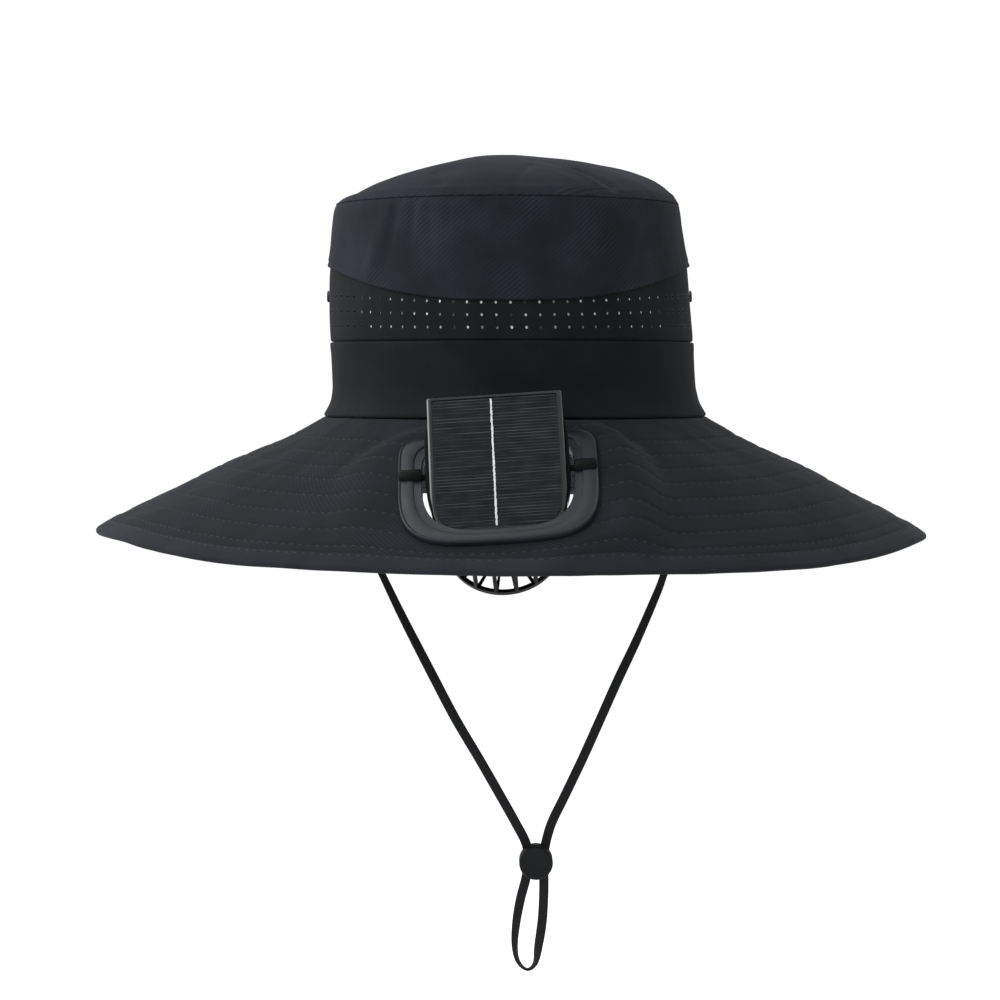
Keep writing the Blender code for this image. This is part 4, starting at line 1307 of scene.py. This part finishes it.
flangeTop = flangeUnder + fan["height"]
clampTop = -fan["lift"] - fan["cloth"] - fan["gap"]
collarUnder = clampTop - fan["clampHeight"]


def outline(halfWidth, up, down, cornerUp, cornerDown, level, steps=168):
    # superellipse, its points evenly spaced round it
    raw = []
    for k in range(1600):
        turn = 2.0 * math.pi * (k + 0.5) / 1600
        upper = math.sin(turn) > 0.0
        power = 2.0 / (cornerUp if upper else cornerDown)
        across = math.copysign(abs(math.cos(turn)) ** power, math.cos(turn))
        along = abs(math.sin(turn)) ** power
        raw.append(Vector((halfWidth * across, up * along if upper else -down * along)))
    raw.append(raw[0])
    reach = [0.0]
    for low, high in zip(raw, raw[1:]):
        reach.append(reach[-1] + (high - low).length)
    loop = []
    index = 0
    for k in range(steps):
        goal = reach[-1] * k / steps
        while reach[index + 1] < goal:
            index += 1
        share = (goal - reach[index]) / max(1e-12, reach[index + 1] - reach[index])
        point = raw[index].lerp(raw[index + 1], share)
        loop.append(Vector((point.x, point.y, level)))
    return loop


ringOuter = outline(fan["halfWidth"], fan["up"], fan["down"], 7.0, 3.8, 0.0)
ringInner = outline(fan["openHalfWidth"], fan["openUp"], fan["openDown"], 7.0, 3.8, 0.0)
ringLip = outline(fan["openHalfWidth"], fan["openUp"], fan["openDown"], 4.0, 3.2, 0.0)


def ringLoop(share, level, lip=False):
    inner = ringLip if lip else ringInner
    loop = [low.lerp(high, share) for low, high in zip(inner, ringOuter)]
    return [Vector((p.x, p.y, level)) for p in loop]


def makeFanRing():
    top = flangeTop
    step = fan["step"]
    section = (
        (0.00, top - step - 0.0004, True),
        (0.03, top - step, True),
        (0.30, top - step, True),
        (0.34, top - step + 0.00005, True),
        (0.36, top - 0.0001, True),
        (0.39, top, True),
        (0.60, top + 0.00012, True),
        (0.84, top, False),
        (0.87, top - 0.00008, False),
        (0.90, top + 0.00012, False),
        (0.95, top + 0.00020, False),
        (0.98, top - 0.00010, False),
        (1.00, top - 0.0007, False),
        (1.00, flangeUnder, False),
        (fan["collar"], flangeUnder, False),
        (fan["collar"], collarUnder, False),
        (0.00, collarUnder, False),
        (0.00, flangeUnder, True),
    )
    ring = loopBand("fanBezel", [ringLoop(*row) for row in section], greyAbs, ringPlace, 40.0)
    cutters = []
    for side in (-1, 1):
        start = fan["openHalfWidth"] - fan["slit"]
        end = fan["openHalfWidth"] + fan["collar"] * (fan["halfWidth"] - fan["openHalfWidth"]) - fan["gap"]
        name = "boreRight" if side > 0 else "boreLeft"
        cutters.append(pivotRod(name, side, fan["pinRadius"] + fan["gap"], start, end, greyAbs, ringPlace))
    join(ring, [makeKnuckle(side) for side in (-1, 1)], "UNION")
    return join(ring, cutters, "DIFFERENCE")


def pivotRod(name, side, radius, start, end, material, place):
    loops = []
    for reach in (start, end):
        arc = [2.0 * math.pi * k / 32 for k in range(32)]
        loops.append([Vector((side * reach, radius * math.cos(a), radius * math.sin(a))) for a in arc])
    return cappedBody(name, loops, material, place)


# The knuckles take the near-black plastic, darker than the grey ring they join: painted shade, standing for
# the dark band across the ring at each pivot.
def makeKnuckle(side):
    steps = 24
    start = fan["openHalfWidth"] + fan["gap"]
    r = fan["knuckleRadius"]
    loops = []
    end = fan["knuckleLength"]
    for reach, size in ((0.0, 0.94), (0.0004, 1.0), (end - 0.0012, 1.0), (end, 0.80)):
        arc = [math.pi * k / steps for k in range(steps + 1)]
        around = [(size * r * math.cos(a), size * r * math.sin(a)) for a in arc]
        loop = [Vector((side * (start + reach), y, z)) for y, z in around]
        loop[0].z = flangeUnder + 0.0002
        loop[-1].z = flangeUnder + 0.0002
        loops.append(loop)
    return cappedBody("knuckleRight" if side > 0 else "knuckleLeft", loops, blackAbs, ringPlace)


def makeRingClamp():
    band = fan["halfWidth"] - fan["openHalfWidth"]
    inner = fan["collar"] + fan["gap"] / band
    outer = 1.0 - fan["clampInset"] / band
    section = ((inner, clampTop), (outer, clampTop), (outer, collarUnder + 0.0006))
    section += ((outer - 0.05, collarUnder + 0.0001), (outer - 0.10, collarUnder), (inner, collarUnder))
    return loopBand("ringClamp", [ringLoop(*row) for row in section], greyAbs, ringPlace, 50.0)


trayHalfWidth = fan["openHalfWidth"] - fan["slit"]
trayDown = fan["drumOffset"] + fan["drumRadius"] + fan["gap"]
drumEnd = -fan["trayBack"] - fan["drumDepth"]


def trayLoop(inset, level):
    sizes = (trayHalfWidth - inset, fan["trayUp"] - inset, trayDown - inset)
    return outline(*sizes, 6.0, 2.7, level, 120)


def makeHousing():
    back, front, wall = -fan["trayBack"], fan["trayFront"], fan["wall"]
    loops = [trayLoop(0.0006, back), trayLoop(0.0001, back + 0.0004), trayLoop(0.0, back + 0.0009)]
    loops += [trayLoop(0.0, front - 0.0005), trayLoop(0.0002, front)]
    body = cappedBody("fanHousing", loops, blackAbs, modulePlace)
    r = fan["drumRadius"]
    drum = turned("drum", ((r, drumEnd), (r, back / 2.0)), 96, blackAbs, drumPlace)
    floor = wall - fan["gap"] - fan["trayBack"]
    hollow = [trayLoop(wall, floor), trayLoop(wall, 2.0 * front)]
    pocket = cappedBody("pocket", hollow, blackAbs, modulePlace)
    profile = ((r - wall, drumEnd - fan["drumDepth"]), (r - wall, back))
    cavity = turned("cavity", profile, 96, blackAbs, drumPlace)
    join(body, [drum], "UNION")
    join(body, [pocket], "DIFFERENCE")
    join(body, [cavity], "DIFFERENCE")
    start = trayHalfWidth - wall / 2.0
    band = fan["halfWidth"] - fan["openHalfWidth"]
    end = fan["openHalfWidth"] + fan["collar"] * band - 2.5 * fan["gap"]
    pins = []
    for side in (-1, 1):
        name = "pinRight" if side > 0 else "pinLeft"
        pins.append(pivotRod(name, side, fan["pinRadius"], start, end, blackAbs, modulePlace))
    join(body, pins, "UNION")
    return bevel(body, 0.00025, 2)


def makeGrille():
    # windows round the side, a solid corner, then ribs across the end to a hub
    r, wall, hub = fan["drumRadius"], fan["wall"], fan["grilleHub"]
    top = drumEnd - fan["gap"]
    depth = fan["grilleDepth"]
    bottom = top - depth
    outer = ((r, top), (r, top - 0.10 * depth), (0.985 * r, top - 0.82 * depth), (0.955 * r, bottom))
    outer += ((0.87 * r, bottom), (hub, bottom), (0.0, bottom))
    inner = ((r - wall, top), (r - wall, top - 0.10 * depth), (0.985 * r - wall, top - 0.82 * depth))
    floor = bottom + wall
    inner += ((0.955 * r, floor), (0.87 * r, floor), (hub, floor), (0.0, floor))
    step = 2.0 * math.pi / fan["ribs"]
    turns = []
    for rib in range(fan["ribs"]):
        first = step * (rib - fan["ribShare"] / 2.0)
        turns += [first, first + step * fan["ribShare"]]
        gapWidth = step * (1.0 - fan["ribShare"])
        turns += [first + step * fan["ribShare"] + gapWidth * k / 3.0 for k in (1, 2)]
    count = len(turns)
    points = []
    for profile in (outer, inner):
        for radius, level in profile[:-1]:
            points.extend(Vector((radius * math.cos(t), radius * math.sin(t), level)) for t in turns)
    rows = len(outer) - 1
    side = rows * count
    outerPole = len(points)
    points.append(Vector((0.0, 0.0, bottom)))
    points.append(Vector((0.0, 0.0, floor)))
    windows = (1, 4)
    faces = []
    for c in range(count):
        d = (c + 1) % count
        faces.append((c, d, side + d, side + c))
        last = (rows - 1) * count
        faces.append((last + c, last + d, outerPole))
        faces.append((side + last + d, side + last + c, outerPole + 1))
        for row in range(rows - 1):
            here, there = row * count, (row + 1) * count
            if row in windows and c % 4:
                for edge in (here, there):
                    faces.append((edge + c, edge + d, side + edge + d, side + edge + c))
                continue
            faces.append((here + c, here + d, there + d, there + c))
            faces.append((side + here + d, side + here + c, side + there + c, side + there + d))
            if row in windows:
                for edge in (c, d):
                    faces.append((here + edge, there + edge, side + there + edge, side + here + edge))
    made = makePiece("fanGrille", points, faces, blackAbs, drumPlace)
    return bevel(made, 0.0003, 2, 50.0)


motorTop = -fan["trayBack"] - fan["gap"]
rotorTop = motorTop - fan["motorLength"] - fan["rotorGap"]


def makeMotor():
    r, s = fan["motorRadius"], fan["shaftRadius"]
    end = motorTop - fan["motorLength"]
    tip = end - fan["shaftLength"]
    profile = (
        (0.0, motorTop),
        (r - 0.0008, motorTop),
        (r, motorTop - 0.0008),
        (r, end + 0.0014),
        (r - 0.0004, end + 0.0006),
        (r - 0.0012, end),
        (0.0034, end),
        (0.0032, end - 0.0005),
        (s, end - 0.0005),
        (s, tip + 0.0002),
        (s - 0.0002, tip),
        (0.0, tip),
    )
    return turned("fanMotor", profile, 48, platedSteel, drumPlace)


def makeRotor():
    bore = fan["shaftRadius"] + fan["gap"]
    boreEnd = motorTop - fan["motorLength"] - fan["shaftLength"] - fan["gap"]
    end = min(rotorTop - fan["hubLength"], boreEnd - fan["gap"])
    r = fan["hubRadius"]
    profile = (
        (0.0, boreEnd),
        (bore, boreEnd),
        (bore, rotorTop),
        (r - 0.0003, rotorTop),
        (r, rotorTop - 0.0003),
        (r, end + 0.0016),
        (0.985 * r, end + 0.0008),
        (0.95 * r, end + 0.0003),
        (0.90 * r, end),
        (0.0, end),
    )
    rotor = turned("fanRotor", profile, 72, blackAbs, drumPlace)
    tip = fan["drumRadius"] - fan["wall"] - fan["tipClearance"]
    root = r - fan["bladeThickness"]
    middle = (rotorTop + end) / 2.0
    rows, across = 9, 8
    blades = []
    for blade in range(fan["blades"]):
        around = Matrix.Rotation(2.0 * math.pi * blade / fan["blades"], 4, "Z")
        loops = []
        for row in range(rows):
            share = row / (rows - 1)
            reach = root + share * (tip - root)
            turn = 1.10 - 0.35 * share
            width = 0.72 + 0.46 * share - 0.26 * share * share
            lean = Matrix.Rotation(math.radians(fan["bladePitch"]) * turn, 4, "X")
            half = width * fan["bladeWidth"] / 2.0
            loop = []
            for k in range(2 * across):
                side = 1.0 if k < across else -1.0
                along = -1.0 + 2.0 * (k % across) / (across - 1)
                camber = 0.0009 * (1.0 - along * along)
                thick = side * fan["bladeThickness"] / 2.0 * math.sqrt(max(0.12, 1.0 - along**4))
                corner = lean @ Vector((0.0, side * along * half, camber + thick))
                corner.x = math.sqrt(max(reach * reach - corner.y * corner.y, 0.0))
                loop.append(around @ (corner + Vector((0.0, 0.0, middle))))
            loops.append(loop)
        blades.append(cappedBody("blade%d" % blade, loops, blackAbs, drumPlace, 60.0))
    join(rotor, blades, "UNION")
    return rotor


fanBezel = makeFanRing()
ringClamp = makeRingClamp()
fanHousing = makeHousing()
fanGrille = makeGrille()
fanMotor = makeMotor()
fanRotor = makeRotor()
print("fan made")


# Solar panel: resin body with polished bevels, the cell set into it, one printed busbar

panel = {
    "halfWidth": 0.0292,
    "up": 0.0375,
    "down": 0.0335,
    "thickness": 0.0030,
    "bevel": 0.0009,
    "border": 0.0012,
    "recess": 0.0010,
    "cell": 0.0005,
    "busbarWidth": 0.00082,
    "busbarX": -0.0014,
}
panelBack = fan["trayFront"] + fan["gap"]
panelFront = panelBack + panel["thickness"]


def panelLoop(inset, level):
    sizes = (panel["halfWidth"] - inset, panel["up"] - inset, panel["down"] - inset)
    return outline(*sizes, 90.0, 6.0, level, 320)


def makePanel():
    wide, border = panel["bevel"], panel["bevel"] + panel["border"]
    layers = (
        (0.0002, panelBack),
        (0.0, panelBack + 0.0002),
        (0.0, panelFront - wide),
        (0.0002, panelFront - wide + 0.00035),
        (wide, panelFront - 0.00003),
        (wide + 0.0001, panelFront),
        (border, panelFront),
        (border + 0.0001, panelFront - panel["recess"]),
    )
    return cappedBody("panelBody", [panelLoop(*row) for row in layers], panelResin, modulePlace, 30.0)


def makeCell():
    inset = panel["bevel"] + panel["border"] + fan["gap"]
    foot = panelFront - panel["recess"] + fan["gap"]
    low = panelLoop(inset, foot)
    high = panelLoop(inset, foot + panel["cell"])
    count = len(low)
    points = low + high
    faces = [tuple(range(count))[::-1], tuple(range(count, 2 * count))]
    for k in range(count):
        after = (k + 1) % count
        faces.append((k, after, count + after, count + k))
    uvs = [[(points[i].x, points[i].y) for i in face] for face in faces]
    return makePiece("cellFace", points, faces, siliconCell, modulePlace, uvs=uvs)


def makeBusbar():
    # printed edge is a little ragged where the fingers meet it
    level = panelFront - panel["recess"] + fan["gap"] + panel["cell"] + 0.00002
    inset = panel["bevel"] + panel["border"] + fan["gap"] + 0.0006
    low, high = -(panel["down"] - inset), panel["up"] - inset
    rows = 150
    points = []
    for row in range(rows + 1):
        y = low + (high - low) * row / rows
        for side in (-1, 1):
            ragged = 0.00022 * noise.noise(Vector((y / 0.0008, side * 3.0, 0.5)))
            x = panel["busbarX"] + side * (panel["busbarWidth"] / 2.0 + ragged)
            points.append(Vector((x, y, level)))
            points.append(Vector((x, y, level + 0.00012)))
    faces = []
    for row in range(rows):
        a, b = 4 * row, 4 * row + 4
        faces.append((a + 1, a + 3, b + 3, b + 1))
        faces.append((a, a + 1, b + 1, b))
        faces.append((a + 3, a + 2, b + 2, b + 3))
        faces.append((a, b, b + 2, a + 2))
    return makePiece("busbar", points, faces, silverPaste, modulePlace, crease=60.0)


panelBody = makePanel()
cellFace = makeCell()
busbar = makeBusbar()
print("panel made")


# Brim: stiffened cloth with eight rows of topstitching, and a bound hem

brim = {
    "halfWidth": 0.1950,
    "halfDepth": 0.2050,
    "dropFront": 0.0620,
    "dropBack": 0.0420,
    "tilt": 0.0017,
    "cloth": 0.0020,
    "hemWidth": 0.0090,
    "hemCloth": 0.0030,
    "hemArcRadius": 0.19,
    "hemWeaveRadius": 0.20,
    "hemGatherPitch": 0.0051,
    "flatReach": 0.0090,
    "flatCorner": 3.4,
    "flatFade": 0.45,
    "arcRadius": 0.15,
    "clothRun": 0.1,  # nominal, for the weave
    "fanReach": (0.06, 0.10),  # beyond this half width, or behind this, the ring can't be
    "cutShare": 0.55,  # of the ring's outline: the cloth inside it is cut away
    "stitchShare": 1.03,  # and no stitch lies inside this
    "columns": 360,
    "rows": 104,
    # height and depth behind the crown's face of the edge turned up inside the crown
    "allowance": ((0.0036, 0.0027), (0.0022, 0.0026), (0.0012, 0.0025), (0.0004, 0.0024), (0.0, 0.0020)),
    "tuck": 0.0016,
    "tuckDepth": 0.0004,
    "stitchShares": (0.155, 0.270, 0.385, 0.500, 0.615, 0.730, 0.845, 0.955),
    # share of the way out and share of the drop
    "sections": (
        (0.00, 0.00),
        (0.14, 0.160),
        (0.30, 0.302),
        (0.47, 0.448),
        (0.68, 0.658),
        (0.89, 0.868),
        (1.00, 1.000),
    ),
    # degrees from the front, 0 at the back's drop and 1 at the front's
    "drops": ((0, 1.00), (37, 0.94), (55, 0.78), (66, 0.67), (90, 0.60), (135, 0.28), (180, 0.00)),
    # degrees from the front, rise as a share of the front's drop, spread in degrees
    "waves": (
        (-62, 0.012, 13),
        (-96, -0.010, 14),
        (50, -0.008, 14),
        (74, 0.016, 9),
        (128, 0.030, 22),
        (-140, 0.026, 24),
    ),
}
rimFront = seamFront + brimRun * math.cos(slope)
rimShift = brim["halfDepth"] - rimFront
ringMiddle = (fan["down"] - fan["up"]) / 2.0
ringHalfLength = (fan["down"] + fan["up"]) / 2.0


def rimPoint(angle):
    degrees = abs(math.degrees(angleBetween(0.0, angle)))
    share = tableValue(brim["drops"], degrees, 1)
    drop = brim["dropBack"] + share * (brim["dropFront"] - brim["dropBack"])
    lift = -brim["tilt"] * math.sin(angle)
    for place, height, wide in brim["waves"]:
        away = math.degrees(angleBetween(math.radians(place), angle))
        lift += height * brim["dropFront"] * hump(away, wide)
    x = brim["halfWidth"] * math.sin(angle)
    return Vector((x, rimShift - brim["halfDepth"] * math.cos(angle), lift - drop))


def flatness(across, forward):
    run = (forward - seamFront) / math.cos(slope) - fan["run"] - ringMiddle
    aside = (across - fan["centreX"]) / (fan["halfWidth"] + brim["flatReach"])
    ahead = run / (ringHalfLength + brim["flatReach"])
    corner = brim["flatCorner"]
    distance = (abs(aside) ** corner + abs(ahead) ** corner) ** (1.0 / corner)
    return 1.0 - smoothStep((distance - 1.0) / brim["flatFade"])


brimAngles = [columnAngle(c, brim["columns"]) for c in range(brim["columns"])]
brimEnds = []
for angle in brimAngles:
    inner = crownPoint(angle, 0.0) - 0.8 * crown["cloth"] * crownOut(angle, 0.0)
    brimEnds.append((Vector((inner.x, inner.y, 0.0)), rimPoint(angle)))


def brimPoint(column, out):
    inner, outer = brimEnds[column % brim["columns"]]
    point = inner + out * (outer - inner)
    point.z = outer.z * tableValue(brim["sections"], out, 1)
    flat = flatness(point.x, -point.y)
    flat *= smoothStep(out / 0.11) * smoothStep((1.0 - out) / 0.16)
    seat, up = seatPlace.translation, seatPlace.col[2]
    level = seat.z - ((point.x - seat.x) * up.x + (point.y - seat.y) * up.y) / up.z
    point.z += flat * (level - point.z)
    return point, flat


def hemShare(column):
    inner, outer = brimEnds[column % brim["columns"]]
    return 1.0 - (brim["hemWidth"] + fan["gap"]) / (outer - inner).length


def quilting(column, share, flat):
    # cloth drawn down at each stitch row and puffed a little between them
    inner, outer = brimEnds[column % brim["columns"]]
    run = (outer - inner).length * hemShare(column)
    nearest = min(abs(share - row) for row in brim["stitchShares"]) * run
    angle = brimAngles[column % brim["columns"]]
    arc = brim["arcRadius"] * angle
    drawn = -0.00042 * hump(nearest, 0.0011)
    pucker = 0.00012 * math.sin(2.0 * math.pi * arc / 0.0052 + 5.0 * share) * hump(nearest, 0.003)
    slack = 0.0006 * noise.noise(Vector((arc / 0.020, share * 4.0, 4.4))) * smoothStep(share / 0.1)
    slack += 0.0002 * noise.noise(Vector((arc / 0.007, share * 12.0, 9.1)))
    return drawn + (pucker + slack) * (1.0 - 0.85 * flat)


def farFromRing(point):
    across, forward = brim["fanReach"]
    return point.y > -forward or abs(point.x) > across


def insideRing(point, share):
    # whether a point of the brim lies inside a band of the ring's outline
    local = ringPlace.inverted() @ point
    loop = ringLoop(share, 0.0)
    inside = False
    for low, high in zip(loop, loop[1:] + loop[:1]):
        if (low.y > local.y) != (high.y > local.y):
            if local.x < (high.x - low.x) * (local.y - low.y) / (high.y - low.y) + low.x:
                inside = not inside
    return inside


def makeBrim():
    shares = [k / brim["rows"] for k in range(brim["rows"] + 1)]
    base = []
    flats = []
    for share in shares:
        line = []
        marks = []
        for column in range(brim["columns"]):
            point, flat = brimPoint(column, share * hemShare(column))
            line.append(point)
            marks.append(flat)
        base.append(line)
        flats.append(marks)
    normals = gridNormals(base)
    grid = []
    allowance = []
    for height, depth in brim["allowance"]:
        line = [crownPoint(angle, height) - depth * crownOut(angle, height) for angle in brimAngles]
        allowance.append(line)
    hidden = []
    for column in range(brim["columns"]):
        inner, outer = brimEnds[column]
        out = 1.0 - (brim["hemWidth"] - brim["tuck"]) / (outer - inner).length
        hidden.append(brimPoint(column, out)[0] + brim["tuckDepth"] * normals[-1][column])
    for r, share in enumerate(shares):
        line = []
        for c in range(brim["columns"]):
            up = -normals[r][c]
            edge = roundedEdge(share * brim["clothRun"], 0.0008)
            line.append(base[r][c] + (quilting(c, share, flats[r][c]) + edge) * up)
        grid.append(line)

    lead = len(allowance)

    def cut(row, c):
        r = row - lead
        if r < 0 or r >= brim["rows"]:
            return False
        point = (base[r][c] + base[r + 1][(c + 1) % brim["columns"]]) / 2.0
        return not farFromRing(point) and insideRing(point, brim["cutShare"])

    def place(row, c):
        angle = columnAngle(c, brim["columns"])
        return brim["arcRadius"] * angle, (row - lead) / brim["rows"] * brim["clothRun"]

    whole = allowance + grid + [hidden]
    made = gridSheet("brimCloth", whole, brim["cloth"], brimTwill, place, flip=True, cut=cut, crease=60.0)
    runs = []
    underRuns = []
    for row in brim["stitchShares"]:
        run = []
        under = []
        level = row * brim["rows"]
        r = int(level)
        for c in range(brim["columns"] + 1):
            k = c % brim["columns"]
            point = grid[r][k].lerp(grid[min(r + 1, brim["rows"])][k], level - r)
            run.append((point, -normals[r][k]))
            under.append((point + brim["cloth"] * normals[r][k], normals[r][k]))
        runs.append(run)
        underRuns.append(under)
    return made, runs, underRuns


def makeHem():
    proud = (brim["hemCloth"] - brim["cloth"]) / 2.0
    tall = brim["hemCloth"]
    section = (
        (0.0, 0.35 * tall - proud),
        (0.004, 0.12 * tall - proud),
        (0.02, 0.02 * tall - proud),
        (0.06, -proud),
        (0.13, 0.05 * tall - proud),
        (0.20, -proud),
        (0.45, -0.04 * tall - proud),
        (0.75, -proud),
        (0.86, 0.04 * tall - proud),
        (0.93, 0.12 * tall - proud),
        (0.98, 0.28 * tall - proud),
        (1.0, 0.5 * tall - proud),
        (0.98, 0.72 * tall - proud),
        (0.93, 0.88 * tall - proud),
        (0.86, 0.97 * tall - proud),
        (0.5, 1.02 * tall - proud),
        (0.13, 0.97 * tall - proud),
        (0.04, tall - proud),
        (0.0, 0.80 * tall - proud),
    )
    base = []
    for share in (0.0, 0.5, 1.0):
        line = []
        for column in range(brim["columns"]):
            inner, outer = brimEnds[column]
            out = 1.0 - (1.0 - share) * brim["hemWidth"] / (outer - inner).length
            line.append(brimPoint(column, out)[0])
        base.append(line)
    normals = gridNormals(base)
    loops = []
    for share, depth in section:
        line = []
        for c in range(brim["columns"]):
            angle = brimAngles[c]
            if share < 0.5:
                position = base[0][c].lerp(base[1][c], 2.0 * share)
            else:
                position = base[1][c].lerp(base[2][c], 2.0 * share - 1.0)
            up = -normals[1][c]
            arc = brim["hemArcRadius"] * angle
            ripple = 0.00025 * noise.noise(Vector((arc / 0.012, share * 2.0, 6.6)))
            gather = math.sin(2.0 * math.pi * arc / brim["hemGatherPitch"])
            pull = 0.00012 * gather * hump(share - 0.13, 0.10)
            line.append(position - (depth - ripple - pull) * up)
        loops.append(line)
    count = brim["columns"]
    points = [point for line in loops for point in line]
    faces = []
    uvs = []
    reach = [0.0]
    for low, high in zip(section, section[1:] + section[:1]):
        reach.append(reach[-1] + math.hypot((high[0] - low[0]) * brim["hemWidth"], high[1] - low[1]))
    for row in range(len(loops)):
        after = (row + 1) % len(loops)
        for c in range(count):
            d = (c + 1) % count
            near, far = row * count, after * count
            faces.append((near + c, near + d, far + d, far + c))
            left, right = [brim["hemWeaveRadius"] * 2.0 * math.pi * k / count for k in (c, c + 1)]
            low, high = reach[row], reach[row + 1]
            uvs.append([(left, low), (right, low), (right, high), (left, high)])
    made = makePiece("brimHem", points, faces, hemTwill, uvs=uvs, crease=60.0)
    run = []
    under = []
    for c in range(count + 1):
        k = c % count
        run.append((loops[4][k], -normals[1][k]))
        under.append((loops[16][k], normals[1][k]))
    return made, run, under


brimCloth, brimRuns, brimUnderRuns = makeBrim()
brimHem, hemRun, hemUnderRun = makeHem()
brimStitch = {"pitch": 0.0043, "length": 0.0019, "width": 0.00045, "height": 0.00026}


def clearOfRing(point):
    return farFromRing(point) or not insideRing(point, brim["stitchShare"])


topRuns = brimRuns + [hemRun]
underRuns = brimUnderRuns + [hemUnderRun]
brimStitches = stitchRows("brimStitches", topRuns, brimStitch, brimThread, clearOfRing)
underStitches = stitchRows("underStitches", underRuns, brimStitch, darkThread, clearOfRing)
print("brim made")


# What each piece rides on, which solid it stands for and the finish it takes

rides = (
    (crownDome, "hat", ("crown_top",), "crown_cloth"),
    (crownWall, "hat", ("crown_side",), "crown_cloth"),
    (ventBand, "hat", ("vent_band",), "vent_cloth"),
    (paintedHoleLightDots, "hat", (), "vent_cloth"),
    (crownFoot, "hat", ("crown_base",), "vent_cloth"),
    (seamTape, "hat", (), "vent_cloth"),
    (overlapStitches, "hat", (), "crown_cloth"),
    (eyelets[0], "hat", ("side_eyelet_left",), "black_metal"),
    (eyelets[1], "hat", ("side_eyelet_right",), "black_metal"),
    (brimCloth, "hat", ("brim",), "brim_cloth"),
    (brimStitches, "hat", (), "brim_cloth"),
    (underStitches, "hat", (), "brim_cloth"),
    (brimHem, "hat", ("brim_hem",), "brim_cloth"),
    (fanBezel, "hat", ("fan_ring",), "grey_plastic"),
    (ringClamp, "hat", ("ring_clamp",), "grey_plastic"),
    (fanHousing, "fan_unit", ("fan_housing",), "black_plastic"),
    (fanGrille, "fan_unit", ("fan_grille",), "black_plastic"),
    (fanMotor, "fan_unit", ("fan_motor",), "motor_steel"),
    (panelBody, "fan_unit", ("solar_panel",), "panel_resin"),
    (cellFace, "fan_unit", ("solar_cell",), "cell_silicon"),
    (busbar, "fan_unit", (), "cell_silicon"),
    (fanRotor, "rotor", ("fan_rotor",), "black_plastic"),
    (chinRibbon, "hat", ("chin_strap",), "strap_webbing"),
    (stopperBody, "hat", ("strap_stopper",), "stopper_plastic"),
    (stopperCap, "button", ("stopper_button",), "stopper_plastic"),
)
for piece, body, nodes, slot in rides:
    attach(piece, body)
    if nodes:
        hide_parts(*nodes)


# Studio: white surround, pale floor well below the hanging hat, four soft lights

studio = {
    "floorZ": -0.40,
    "floorRadius": 6.0,
    "world": 1.03,
    # place, aim, size in metres, power in watts
    "lights": (
        ("keySoftbox", (-0.80, -0.65, 0.75), (0.0, 0.0, 0.0), 0.7, 12.0),
        ("rimSoftbox", (-1.30, 0.35, 0.68), (0.0, -0.1, 0.0), 0.8, 9.5),
        ("topSoftbox", (-0.45, 0.45, 1.45), (0.0, 0.0, 0.0), 0.8, 5.5),
        ("fillSoftbox", (1.5, -1.2, 0.3), (0.0, 0.0, -0.05), 1.2, 1.5),
    ),
}


def makeStudio():
    world = bpy.data.worlds.new("whiteSurround")
    world.use_nodes = True
    background = world.node_tree.nodes["Background"]
    background.inputs["Color"].default_value = (1.0, 1.0, 1.0, 1.0)
    background.inputs["Strength"].default_value = studio["world"]
    bpy.context.scene.world = world
    bpy.context.scene.view_settings.view_transform = "Standard"
    floor, tree, shader = newMaterial("paintedFloor", "#fefefe", 0.9, Specular_IOR_Level=0.0)
    grain = addNode(tree, "ShaderNodeTexNoise", {"Scale": 6.0})
    tree.links.new(spread(tree, grain.outputs["Fac"], 0.85, 0.95), shader.inputs["Roughness"])
    disc = circle(studio["floorRadius"], studio["floorZ"], 96)
    ground = makePiece("studioFloor", disc, [tuple(range(96))], floor)
    for name, place, aim, size, power in studio["lights"]:
        data = bpy.data.lights.new(name, "AREA")
        data.shape = "SQUARE"
        data.size = size
        data.energy = power
        made = bpy.data.objects.new(name, data)
        made.location = place
        made.rotation_euler = (Vector(aim) - Vector(place)).to_track_quat("-Z", "Y").to_euler()
        bpy.context.scene.collection.objects.link(made)


makeStudio()
print("studio made")
